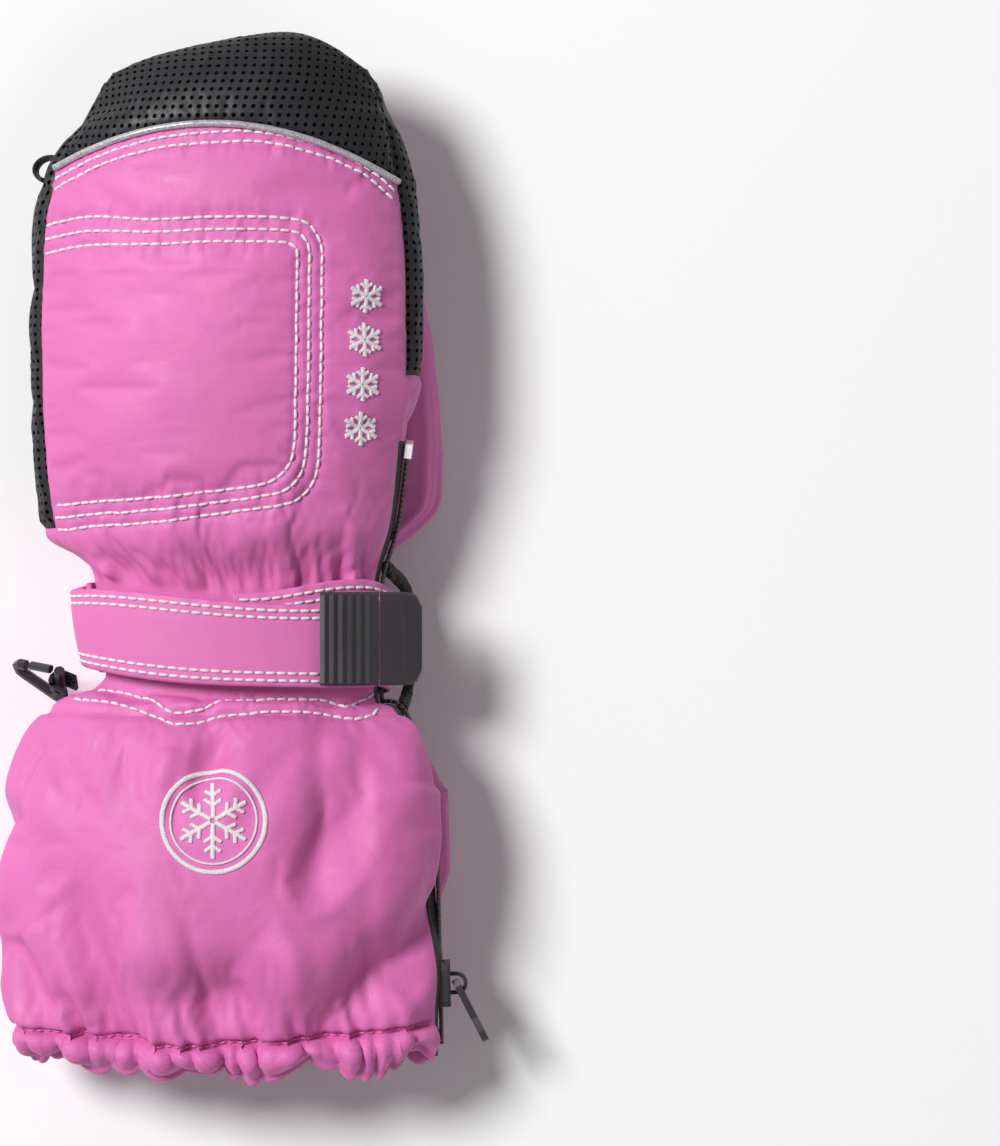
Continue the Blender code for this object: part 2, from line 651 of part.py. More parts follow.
def build_zip(line):
    """The chain with its two rows of coils, as ribs across one band, and its stops."""
    low = line[0][0].y + CHAIN_START
    high = line[-1][0].y - STOP_LENGTH - LAYER_GAP
    count = int((high - low) / (CHAIN_PITCH / 2))
    rings = []
    for k in range(count + 1):
        point, out, run = along_line(line, mix(low, high, k / count))
        across = run.cross(out)
        tall = LAYER_GAP + CHAIN_HEIGHT * (1.0 if k % 2 else 0.62)
        half = CHAIN_WIDTH / 2 * (1.0 if k % 2 else 0.9)
        base = point + out * LAYER_GAP
        crest = point + out * tall
        rings.append([base - across * half, base + across * half, crest + across * half * 0.72,
                      crest - across * half * 0.72])
    add_object("zip_chain", *loft(rings), "black_plastic", crease=20)
    point, out, run = along_line(line, line[-1][0].y - STOP_LENGTH)
    across = run.cross(out)
    half = CHAIN_WIDTH / 2 + 0.4
    outline = [(0, -half), (STOP_LENGTH - 0.6, -half), (STOP_LENGTH, -half + 0.6),
               (STOP_LENGTH, half - 0.6), (STOP_LENGTH - 0.6, half), (0, half)]
    rings = [place(ring, point, run, across, out) for ring in slab(outline, LAYER_GAP, LAYER_GAP + 1.6)]
    add_object("zip_top_stop", *loft(rings), "white_moulding")


def build_slider(line):
    """The slider straddles the chain; its bow carries the pull, which swings on a cross bar."""
    point, out, run = along_line(line, SLIDER_AT)
    across = run.cross(out)
    inner_half = CHAIN_WIDTH / 2 + LAYER_GAP
    inner_top = LAYER_GAP + CHAIN_HEIGHT + LAYER_GAP
    top = inner_top + SLIDER_PLATE
    rings = []
    for u, shrink in ((-0.5, 0.86), (-0.38, 0.95), (0, 0.97), (0.3, 1.0), (0.44, 0.95), (0.5, 0.8)):
        half = max(SLIDER_WIDTH / 2 * shrink, inner_half + 0.5)
        profile = [(-half, LAYER_GAP), (-half, top - 0.7), (-half + 0.7, top), (half - 0.7, top),
                   (half, top - 0.7), (half, LAYER_GAP), (inner_half, LAYER_GAP), (inner_half, inner_top),
                   (-inner_half, inner_top), (-inner_half, LAYER_GAP)]
        ring = [(u * SLIDER_LENGTH, v, w) for v, w in profile]
        rings.append(place(ring, point, run, across, out))
    slider = add_object("zip_slider", *loft(rings), "black_plastic", origin=point)
    pivot_height = top + LAYER_GAP + math.hypot(CROSS_BAR, CROSS_BAR) / 2
    pivot = point + out * pivot_height
    turns = [math.pi * i / 8 for i in range(9)]
    outer = [(-EYE_OUTER, -pivot_height + top - 0.5)]
    outer += [(-EYE_OUTER * math.cos(t), EYE_OUTER * math.sin(t)) for t in turns]
    outer += [(EYE_OUTER, -pivot_height + top - 0.5), (EYE_INNER, -pivot_height + top - 0.5)]
    outer += [(EYE_INNER * math.cos(t), EYE_INNER * math.sin(t)) for t in turns]
    outer.append((-EYE_INNER, -pivot_height + top - 0.5))
    rings = [place([(u, side, w) for u, w in outer], pivot, run, across, out)
             for side in (-EYE_WIDTH / 2, EYE_WIDTH / 2)]
    bow = as_cutter(add_object("slider_bow", *loft(rings), "black_plastic", parent=slider, origin=point))
    boolean(slider, bow, "UNION")
    build_pull(slider, pivot, run, across, out)
    return slider


def build_pull(slider, pivot, run, across, out):
    """The pull: a plate with a slot for the slider's bow, thicker at its rounded grip."""
    ahead = (-run * math.cos(PULL_REST) + out * math.sin(PULL_REST)).normalized()
    normal = ahead.cross(across)
    half = PULL_WIDTH / 2
    bar = CROSS_BAR / 2
    slot_half = EYE_WIDTH / 2 + LAYER_GAP
    slot_end = EYE_OUTER + 2 * LAYER_GAP
    turns = [math.pi * i / 6 for i in range(7)]
    outline = [(-bar, half - 0.6), (bar, half), (slot_end + 1.5, half), (0.6 * PULL_LENGTH, 0.82 * half)]
    outline += [(PULL_LENGTH - half + half * math.sin(t), half * math.cos(t)) for t in turns]
    outline += [(0.6 * PULL_LENGTH, -0.82 * half), (slot_end + 1.5, -half), (bar, -half), (-bar, -half + 0.6)]
    rings = [place(ring, pivot, ahead, across, normal)
             for ring in slab(outline, -PULL_PLATE / 2 + 0.2, PULL_PLATE / 2 - 0.2)]
    pull = add_object("zip_pull", *loft(rings), "black_plastic", origin=pivot, parent=slider)
    slot = [(bar, -slot_half), (slot_end, -slot_half), (slot_end, slot_half), (bar, slot_half)]
    rings = [place(ring, pivot, ahead, across, normal) for ring in slab(slot, -PULL_PLATE, PULL_PLATE)]
    boolean(pull, as_cutter(add_object("pull_slot", *loft(rings), "black_plastic", origin=pivot,
                                       parent=slider)), "DIFFERENCE")
    return pull


# ---- The strap ------------------------------------------------------------------------------
BAND_UNDER = CHAIN_HEIGHT + 3 * LAYER_GAP  # the band passes over the zip
BAND_OVER = BAND_UNDER + STRAP_FABRIC
LOOP_UNDER = BAND_OVER + LAYER_GAP
HOOK_UNDER = LOOP_UNDER + PILE + LAYER_GAP
END_UNDER = HOOK_UNDER + PILE + LAYER_GAP
END_OVER = END_UNDER + STRAP_FABRIC
PATCH_MARGIN = 3.0
TAB_LENGTH = 23.0
TAB_GRIP = 13.2  # the ribbed part's share of the tab's length
TAB_PLATE = 2.2
TAB_STEP = 0.5  # the ribbed part stands this much higher
TAB_RIBS = 6
TAB_OVERHANG = 1.0  # wider than the strap at each edge
TAB_PAST = 4.5  # longer than the strap
TAB_CORNER = 3.5


def build_strap(body, row_of):
    """A fixed band round the palm side, and a free end over the back that peels off it."""
    rows = (STRAP_LOW, STRAP_HIGH)
    loop_start = ACROSS // 2 + 1
    band = patch(row_of, *rows, TOP_COLUMNS[loop_start - 1:] + RIGHT_COLUMNS + PALM_COLUMNS + (LEFT_LOWER,))
    add_object("strap_band", *body.panel(band, BAND_OVER, BAND_UNDER), "pink_strap")
    root = patch(row_of, *rows, PALM_COLUMNS[-2:] + (LEFT_LOWER,))
    add_object("strap_root", *body.panel(root, END_OVER, LOOP_UNDER), "pink_strap")
    pile = patch(row_of, *rows, TOP_COLUMNS[loop_start:-1])
    loop_patch = body.panel(pile, LOOP_UNDER + PILE, LOOP_UNDER, PATCH_MARGIN)
    add_object("strap_loop_patch", *loop_patch, "black_webbing")
    low = body.at(row_of[STRAP_LOW] * RING + RING - 1, END_OVER)
    high = body.at(row_of[STRAP_HIGH] * RING + RING - 1, END_OVER)
    hinge = bpy.data.objects.new("strap_hinge", None)
    bpy.context.scene.collection.objects.link(hinge)
    hinge.location = (low + high) / 2 * MM
    bpy.context.view_layer.update()
    free = patch(row_of, *rows, TOP_COLUMNS + (LEFT_UPPER,))
    origin = (low + high) / 2
    add_object("strap_end", *body.panel(free, END_OVER, END_UNDER), "pink_strap", origin=origin, parent=hinge)
    hook_patch = body.panel(pile, HOOK_UNDER + PILE, HOOK_UNDER, PATCH_MARGIN)
    add_object("strap_hook_patch", *hook_patch, "black_webbing", origin=origin, parent=hinge)
    build_tab(body, row_of, origin, hinge)


def strap_top(body, row_of):
    """Across the strap's free end: x and the greater height of its two edges."""
    pairs = []
    for k in range(ACROSS // 2, ACROSS + 1):
        ends = [body.at(row_of[row] * RING + k, END_OVER) for row in (STRAP_LOW, STRAP_HIGH)]
        pairs.append((max(e.x for e in ends), max(e.z for e in ends)))
    return pairs


def build_tab(body, row_of, origin, hinge):
    """The moulded pull tab on the strap's end: a ribbed grip and a bare, rounded tip."""
    edge = strap_top(body, row_of)
    ends = [body.at(row_of[row] * RING + ACROSS, END_OVER) for row in (STRAP_LOW, STRAP_HIGH)]
    y_low = ends[0].y - TAB_OVERHANG
    y_high = ends[1].y + TAB_OVERHANG
    x_end = edge[-1][0] + TAB_PAST
    x_start = x_end - TAB_LENGTH
    xs, zs = zip(*edge)

    def under(x):
        return float(np.interp(x, xs, zs)) - max(0.0, x - xs[-1]) * 0.45 + LAYER_GAP

    def section(x, extra, inset):
        low, top = under(x), under(x) + TAB_PLATE + extra
        y0, y1 = y_low + inset, y_high - inset
        return [Vector(p) for p in ((x, y0, low), (x, y1, low), (x, y1, top - 0.6), (x, y1 - 0.6, top),
                                    (x, y0 + 0.6, top), (x, y0, top - 0.6))]

    x_step = x_start + TAB_GRIP
    grip = []
    pitch = TAB_GRIP / (2 * TAB_RIBS + 1)
    for k in range(2 * TAB_RIBS + 2):
        raised = TAB_STEP if k % 2 else TAB_STEP - 0.45
        grip.append(section(x_start + pitch * k, raised if 0 < k < 2 * TAB_RIBS + 1 else 0.0, 0.0))
    add_object("strap_tab_grip", *loft(grip), "black_plastic", origin=origin, parent=hinge, crease=20)
    tip = []
    for k in range(9):
        x = mix(x_step + LAYER_GAP, x_end, k / 8)
        past = max(0.0, x - (x_end - TAB_CORNER)) / TAB_CORNER
        tip.append(section(x, -0.3 * past, TAB_CORNER * (1 - math.sqrt(max(0.0, 1 - past**2))) * 0.9))
    add_object("strap_tab_tip", *loft(tip), "black_plastic", origin=origin, parent=hinge)


# ---- Loops, piping and clip -----------------------------------------------------------------
WEBBING = (2.0, 1.3)  # radii of the braided pull loop
CLIP_BAR = 1.3
CLIP_REACH = 11.5
CLIP_HALF = 5.2
CLIP_TAB_WIDTH = 5.0
CLIP_TAB_THICKNESS = 1.0
CLIP_STAND = 3.2  # the clip's bar stands this far off the seam, besides bar and tab
CLIP_WAY = Vector((-0.86, 0.35, -0.30)).normalized()  # out from the seam, forward and a little down
CLIP_BAR_LEAN = Vector((0.05, 0.55, 0.83))  # the bar lies along the seam, leaning forward
GATE_LENGTH = 6.4


def build_piping(body, row_of):
    """The reflective piping stands on the seam between the back and the fingertip cap."""
    lift = PIPING_RADIUS + LAYER_GAP
    path = [body.at(row_of[PIPING] * RING + k, lift) for k in range(ACROSS + 1)]
    tube = swept(path, (PIPING_RADIUS, PIPING_RADIUS), Vector((0, 0, 1)), 6)
    add_object("reflective_piping", *tube, "reflective")


def curve_points(knots, count):
    """Points along a smooth curve through knots."""
    values = [tuple(knot) for knot in knots]
    return [Vector(through(values, i * (len(values) - 1) / (count - 1))) for i in range(count)]


def build_pull_loop(body, row_of):
    """The braided loop at the wrist, sewn in below the strap and above it, bridging it."""
    column = ACROSS + SIDE
    out = WEBBING[1] + LAYER_GAP - 0.5
    low = body.at(row_of[CUFF_SEAM] * RING + column, out)
    above = body.at(row_of[GATHER] * RING + column, out)
    high = body.at(row_of[STRAP_HIGH] * RING + column, out).lerp(above, 0.4)
    over = END_OVER + WEBBING[1] + 1.0
    strap_low = body.at(row_of[STRAP_LOW] * RING + column, over)
    strap_high = body.at(row_of[STRAP_HIGH] * RING + column, over)
    reach = Vector((1.6, 0, -0.2))
    middle = (strap_low + strap_high) / 2 + reach
    path = curve_points([low, strap_low, middle, strap_high, high], 15)
    add_object("pull_loop", *swept(path, WEBBING, Vector((1, 0, 0)), 8), "black_webbing")


def build_tip_loop(body, row_of):
    """The small hanging loop beside the cap's little-finger corner."""
    row = row_of[PIPING]
    low = body.at(row * RING + RING - 1, 0.9)
    high = body.at((row + 1) * RING + RING - 1, 0.9)
    run = (high - low).normalized()
    out = body.normals[row * RING + RING - 1].normalized()
    path = []
    for k in range(9):
        turn = math.pi * k / 8
        path.append(low + run * (3.4 - 3.0 * math.cos(turn)) + out * (3.6 * math.sin(turn)))
    add_object("tip_loop", *swept(path, (1.6, 0.55), out.cross(run), 6), "black_webbing")


def build_clip(body, row_of):
    """A snap hook on a folded tab at the little-finger side, below the strap."""
    corners = [body.at(row_of[row] * RING + index, 0) for row in (CUFF_SEAM, STRAP_LOW)
               for index in (RING - 1, RING - 2)]
    out = CLIP_WAY
    bar_way = (CLIP_BAR_LEAN - out * CLIP_BAR_LEAN.dot(out)).normalized()
    flat = out.cross(bar_way)
    anchor = sum(corners, Vector()) / 4
    pivot = anchor + out * (CLIP_BAR + CLIP_TAB_THICKNESS + CLIP_STAND)
    wrap = CLIP_BAR + 1.5 * LAYER_GAP + CLIP_TAB_THICKNESS / 2
    path = [(-2.8, -wrap), (-1.5, -wrap)]
    path += [(wrap * math.sin(t), -wrap * math.cos(t)) for t in (math.pi * i / 6 for i in range(7))]
    path += [(-1.5, wrap), (-2.8, wrap)]
    outer = []
    for side in (-CLIP_TAB_THICKNESS / 2, CLIP_TAB_THICKNESS / 2):
        ring = []
        for i, (u, v) in enumerate(path):
            before, after = path[max(i - 1, 0)], path[min(i + 1, len(path) - 1)]
            run = Vector((after[0] - before[0], after[1] - before[1])).normalized()
            ring.append((u + run.y * side, v - run.x * side))
        outer.append(ring)
    outline = outer[1] + outer[0][::-1]
    half = CLIP_TAB_WIDTH / 2
    rings = [[pivot + out * u + flat * v + bar_way * side for u, v in outline] for side in (-half, half)]
    add_object("clip_tab", *loft(rings), "black_grip")
    round_bar = (CLIP_BAR, CLIP_BAR)
    knots = ((-0.2, CLIP_HALF + 0.9), (0, CLIP_HALF - 1.4), (0, 0), (0, -CLIP_HALF + 1.2), (0.6, -CLIP_HALF),
             (1.9, -CLIP_HALF + 0.3), (CLIP_REACH - 2.2, -1.6), (CLIP_REACH - 0.4, -0.6), (CLIP_REACH, 0.9),
             (CLIP_REACH - 0.9, 2.0), (CLIP_REACH - 2.4, 2.4))
    path = [pivot + out * u + bar_way * v for u, v in knots]
    add_object("clip_frame", *swept(path, round_bar, flat, 8), "black_plastic", origin=pivot)
    hinge = pivot + out * (CLIP_BAR + 0.9) + bar_way * CLIP_HALF
    nose = pivot + out * (CLIP_REACH - 2.4 - 1.4) + bar_way * (2.4 + 0.9)
    way = (nose - hinge).normalized()
    path = [hinge, hinge + way * (GATE_LENGTH * 0.2), hinge + way * (GATE_LENGTH * 0.9), nose]
    gate = add_object("clip_gate", *swept(path, (0.9, 1.1), flat, 8), "black_plastic", origin=hinge)
    gate.parent = bpy.data.objects["clip_frame"]
    gate.location = (hinge - pivot) * MM


def settle():
    """Puts the origin in the middle of the mitten's box, on the surface it lies on."""
    corners = []
    for obj in bpy.data.objects:
        if obj.type == "MESH" and not obj.hide_render:
            corners += [obj.matrix_world @ v.co for v in obj.data.vertices]
    middle = [(min(c[i] for c in corners) + max(c[i] for c in corners)) / 2 for i in range(2)]
    floor = min(c.z for c in corners)
    for obj in bpy.data.objects:
        if obj.parent is None:
            obj.location -= Vector((*middle, floor))
    bpy.context.view_layer.update()


def main():
    clear_scene()
    points, row_of = body_grid()
    body = Surface(points, grid_faces(row_of))
    thumb = thumb_surface()
    build_shell(body, row_of)
    build_inner_layers(body, row_of)
    build_thumb(body, thumb)
    line = seam_line(body, row_of)
    build_zip(line)
    build_slider(line)
    build_strap(body, row_of)
    build_piping(body, row_of)
    build_pull_loop(body, row_of)
    build_tip_loop(body, row_of)
    build_clip(body, row_of)
    settle()


main()
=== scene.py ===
"""The looks of a child's padded ski mitten: sewn shell, stitching, strap, zip and small hardware.

The rigid pieces come from the frame.  The soft panels are made again here, finer, from the surface that they
were cut from: a grid of loops from the hem to the fingertips.  Cloth simulation lets the fabric puff and
wrinkle between its seams.  Lengths are millimetres until a mesh is made.
"""

import math

import bmesh
import bpy
import numpy as np
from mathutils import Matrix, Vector, noise


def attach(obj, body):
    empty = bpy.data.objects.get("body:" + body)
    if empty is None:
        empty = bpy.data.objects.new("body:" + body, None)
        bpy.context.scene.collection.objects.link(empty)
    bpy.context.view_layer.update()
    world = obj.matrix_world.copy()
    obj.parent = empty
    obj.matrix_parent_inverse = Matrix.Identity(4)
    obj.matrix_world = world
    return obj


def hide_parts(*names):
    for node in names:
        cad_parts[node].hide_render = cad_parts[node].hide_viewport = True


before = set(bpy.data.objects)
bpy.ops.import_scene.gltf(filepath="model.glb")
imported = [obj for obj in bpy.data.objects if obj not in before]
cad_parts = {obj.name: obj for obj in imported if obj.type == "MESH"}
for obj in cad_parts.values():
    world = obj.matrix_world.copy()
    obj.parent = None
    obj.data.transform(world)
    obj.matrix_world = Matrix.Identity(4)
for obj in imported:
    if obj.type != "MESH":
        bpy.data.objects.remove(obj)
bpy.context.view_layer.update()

MM = 0.001
SETTLE = np.array((-5.006, 0.55, 0.0))  # from the pattern's own frame to the mitten's

# ---- The photograph ----
PHOTO_WIDE, PHOTO_HIGH = 1000, 1146
PIXEL = 0.23  # millimetres
WRIST_PIXEL = (222, 555)  # the pattern's origin
CAMERA_DISTANCE = 1500.0
IN_SCALE_HEIGHT = 20  # the height at which a pixel is one PIXEL wide
SENSOR = 36.0


def at_pixel(px, py):
    """The place in the mitten's frame, seen from above, of a pixel of the photograph."""
    return (px - WRIST_PIXEL[0]) * PIXEL + SETTLE[0], (WRIST_PIXEL[1] - py) * PIXEL + SETTLE[1]


def add_camera():
    data = bpy.data.cameras.new("camera")
    data.sensor_width = SENSOR
    data.lens = SENSOR * CAMERA_DISTANCE / (PHOTO_HIGH * PIXEL)
    data.clip_end = 20
    camera = bpy.data.objects.new("camera", data)
    x, y = at_pixel(PHOTO_WIDE / 2, PHOTO_HIGH / 2)
    camera.location = (x * MM, y * MM, (CAMERA_DISTANCE + IN_SCALE_HEIGHT) * MM)
    bpy.context.scene.collection.objects.link(camera)
    bpy.context.scene.camera = camera


add_camera()

# ---- The pattern: the same sizes as the model's ----
HAND_REACH, CUFF_REACH = 120.5, 118.5
HAND_WIDTH, HAND_HEIGHT = 84.5, 47.0
WRIST_WIDTH, WRIST_HEIGHT, WRIST_LIFT = 61.5, 27.0, 6.0
CUFF_WIDTH, CUFF_HEIGHT = 97.5, 43.0
HEM_WIDTH, HEM_HEIGHT, HEM_DEPTH, HEM_BOW = 92.0, 29.0, 8.0, 5.0
THUMB_REACH, THUMB_THICKNESS, THUMB_NEST = 103.5, 19.0, 0.6
THUMB_BASE_WIDTH, THUMB_TIP_WIDTH = 43.0, 21.0
THUMB_OUTER, THUMB_LEAN, THUMB_TUCK = 50.5, 12.5, 7.0
STRAP_WIDTH, STRAP_FABRIC, STRAP_MIDDLE = 24.5, 1.4, -18.5
STRAP_EDGES = (STRAP_MIDDLE - STRAP_WIDTH / 2, STRAP_MIDDLE + STRAP_WIDTH / 2)
CUFF_SEAM_PAST, GATHER_PAST = 5.25, 12.25
LAYER_GAP, PILE = 0.3, 0.5
CHAIN_HEIGHT, CHAIN_START, STOP_LENGTH = 1.2, 3.0, 3.2
ZIP_HALF, ZIP_OUT, ZIP_END = 5.0, (2, 0.6), 26.0
ZIP_PAST_HEM, ZIP_PAST_CUFF = 3.8, 1.35
CUFF_WIDE_AT, CUFF_UPPER_AT, CUFF_UPPER_WIDTH = -0.68 * CUFF_REACH, -0.46 * CUFF_REACH, 0.965 * CUFF_WIDTH
PIPING_RADIUS = 0.8
PIPING_BACK, CAP_BACK, TIP_BACK = 32.0, 19.0, 10.0
THUMB_GUSSET, KNUCKLE_LINE, GUSSET_HALF = 41.0, 62.0, 5.6
WRIST_SEAM, THUMB_SEAM, FOLD_WAVES = 20.0, THUMB_THICKNESS + 9.0, 3.5
THUMB_ROOT = STRAP_EDGES[1] - 1.75
ROOT_END = THUMB_ROOT + 20.0
PALM_CLIMB, NEST_RAMP, LEFT_RISE, RIGHT_RISE = (THUMB_ROOT + 6.0, THUMB_ROOT + 22.0), (13.0, 3.0), 0.35, 0.3
ROOT_CENTRE, ROOT_WIDE = (17.0, WRIST_LIFT + WRIST_HEIGHT / 2), 0.70
ROOT_HALF_HEIGHT, OVAL, ROUND_FROM = 0.38 * WRIST_HEIGHT, 0.85, 13.5
BAND_UNDER = CHAIN_HEIGHT + 3 * LAYER_GAP
BAND_OVER = BAND_UNDER + STRAP_FABRIC
LOOP_UNDER = BAND_OVER + LAYER_GAP
HOOK_UNDER = LOOP_UNDER + PILE + LAYER_GAP
END_UNDER = HOOK_UNDER + PILE + LAYER_GAP
END_OVER = END_UNDER + STRAP_FABRIC

HEM, HEM_TOP, CUFF_WIDE, CUFF_UPPER, CUFF_SEAM, STRAP_LOW, STRAP_HIGH = range(7)
GATHER, ZIP_TOP, GUSSET_POINT, KNUCKLES, PIPING, CAP, TIP = range(7, 14)
# Columns: 0 to 14 over the back, to 16 down the thumb side, to 30 under the palm, to 32 up the other side.
BACK_END, ZIP_LINE, PALM_START, PALM_END, LEFT_LINE, ROUND = 14, 15, 16, 30, 31, 32
SIDES = ((0, BACK_END), (BACK_END, PALM_START), (PALM_START, PALM_END), (PALM_END, ROUND))
FIELDS = ("y", "skew", "bow", "centre", "width", "crown", "floor", "left_mid", "left_half", "right_mid",
          "right_half", "left_out", "right_out", "back_left", "back_right", "inset", "fold")

ROW_STEP = 1.5  # of the simulated grid; the shown one has twice as many rows and columns
BACK_COLUMNS, SIDE_COLUMNS = 72, 14
COLUMN_COUNTS = (BACK_COLUMNS, SIDE_COLUMNS, BACK_COLUMNS, SIDE_COLUMNS)
LOOP_ROUNDS = 60  # of smoothing round the cuff and the wrist


def mix(a, b, share):
    return a + (b - a) * share


def ease(x, low, high):
    share = np.clip((x - low) / (high - low), 0.0, 1.0)
    return share * share * (3 - 2 * share)


def unit(vectors):
    return vectors / np.maximum(np.linalg.norm(vectors, axis=-1, keepdims=True), 1e-9)


def run_of(line):
    """The length along a line of points, from its start to each of them."""
    return np.concatenate([[0], np.cumsum(np.linalg.norm(np.diff(line, axis=0), axis=1))])


def read_at(places, run, values):
    """Rows of values that are given along a run, read at other places on it."""
    return np.stack([np.interp(places, run, column) for column in values.T], -1)


def evened(line, rounds):
    """A line without its small corners; its ends stay."""
    line = np.array(line, float)
    for _ in range(rounds):
        line[1:-1] = (line[:-2] + 2 * line[1:-1] + line[2:]) / 4
    return line


def station(y, centre, width, crown, floor, left, right, skew=0, bow=0, out=(2, 2), back=(0, 0),
            inset=3, fold=0):
    return [y, skew, bow, centre, width, crown, floor, *left, *right, *out, *back, inset, fold]


def stations():
    hand = HAND_WIDTH
    top = HAND_HEIGHT
    reach = HAND_REACH
    neck = WRIST_LIFT + WRIST_HEIGHT
    cuff = CUFF_REACH
    side = WRIST_SEAM
    over = THUMB_SEAM
    strap_low, strap_high = STRAP_EDGES
    return [
        station(-cuff + 0.7 * HEM_BOW, 1.5, HEM_WIDTH, 4 + HEM_HEIGHT, 3, (side - 2, 4), (side, ZIP_HALF),
                bow=-HEM_BOW, out=ZIP_OUT, fold=1.2),
        station(-cuff + HEM_DEPTH + 0.6 * HEM_BOW, 1.0, HEM_WIDTH + 2.5, 7 + HEM_HEIGHT, 1.5,
                (side - 2, 4), (side, ZIP_HALF), bow=-0.9 * HEM_BOW, out=ZIP_OUT, fold=1.5),
        station(CUFF_WIDE_AT, -0.75, CUFF_WIDTH, CUFF_HEIGHT, 0, (side - 1, 5), (side, ZIP_HALF),
                out=ZIP_OUT, fold=1.5),
        station(CUFF_UPPER_AT, -0.5, CUFF_UPPER_WIDTH, CUFF_HEIGHT - 1, 0, (side - 1, 5), (side, ZIP_HALF),
                out=ZIP_OUT, fold=1.0),
        station(strap_low - CUFF_SEAM_PAST, 0.5, mix(WRIST_WIDTH, CUFF_WIDTH, 0.52), CUFF_HEIGHT - 6, 1.5,
                (side, 5), (side, ZIP_HALF), out=ZIP_OUT),
        station(strap_low + 2.5, 4.5, WRIST_WIDTH, neck, WRIST_LIFT, (side, 5), (side, ZIP_HALF),
                skew=-4.5, bow=-1.5, out=ZIP_OUT),
        station(strap_high + 1.5, 3.0, WRIST_WIDTH + 3, neck + 1, WRIST_LIFT, (side, 5), (side, ZIP_HALF),
                skew=-3.5, bow=-1.5, out=ZIP_OUT),
        station(strap_high + GATHER_PAST, 0.2, 0.915 * hand, mix(neck, top, 0.6), 3, (side - 1, 6),
                (over - 6, ZIP_HALF), out=ZIP_OUT, inset=4, fold=0.9),
        station(ZIP_END, 0, 0.975 * hand, top - 1, 0, (side, 8), (over - 1, ZIP_HALF), out=(2.2, 1.0),
                inset=5),
        station(THUMB_GUSSET, 0.9, hand, top, 0, (side, 9), (over, GUSSET_HALF), out=(2.4, 3), inset=5.5),
        station(KNUCKLE_LINE, 1.0, 0.995 * hand, top, 0, (side, 9), (over, GUSSET_HALF), out=(2.4, 3.2),
                inset=5.5),
        station(reach - PIPING_BACK, 1.5, 0.935 * hand, top - 3, 0.5, (side + 0.5, 8),
                (over - 0.5, GUSSET_HALF), skew=-3.5, bow=11, out=(2.4, 3.5), back=(6, 2), inset=5),
        station(reach - CAP_BACK, 4.2, 0.805 * hand, top - 8, 3, (side + 0.5, 7.5), (over - 1.5, GUSSET_HALF),
                skew=-2, bow=11.5, out=(2.2, 2.5), back=(9, 6), inset=3),
        station(reach - TIP_BACK, 4.5, 0.71 * hand, top - 14, 9, (side + 1, 7), (over - 2, GUSSET_HALF),
                skew=-1, bow=9, out=(2, 2), back=(14, 10), inset=1),
    ]


def through(values, at):
    """A smooth curve without overshoot through values at 0, 1, 2 and so on, read at one place."""
    values = np.asarray(values, float)
    steps = np.diff(values, axis=0)
    before, after = steps[:-1], steps[1:]
    total = np.where(before + after == 0, 1, before + after)
    inner = np.where(before * after > 0, 2 * before * after / total, 0)
    slopes = np.concatenate([steps[:1], inner, steps[-1:]])
    i = min(int(at), len(values) - 2)
    u = at - i
    start = (2 * u**3 - 3 * u**2 + 1) * values[i] + (u**3 - 2 * u**2 + u) * slopes[i]
    return start + (3 * u**2 - 2 * u**3) * values[i + 1] + (u**3 - u**2) * slopes[i + 1]


def thumb_edges(y):
    share = np.clip(y / THUMB_REACH, 0.0, 1.0)
    outer = THUMB_OUTER - THUMB_LEAN * ease(share, 0.25, 1.05) - THUMB_TUCK * (1 - ease(share, -0.1, 0.16))
    return outer - mix(THUMB_BASE_WIDTH, THUMB_TIP_WIDTH, ease(share, 0.02, 0.98)), outer


def arc3(start, middle, end, share):
    """A parabola through three points, at shares from 0 to 1; each may be one point or many."""
    w = np.asarray(share)[..., None]
    return start * (1 - w) * (1 - 2 * w) + 4 * middle * w * (1 - w) + end * w * (2 * w - 1)


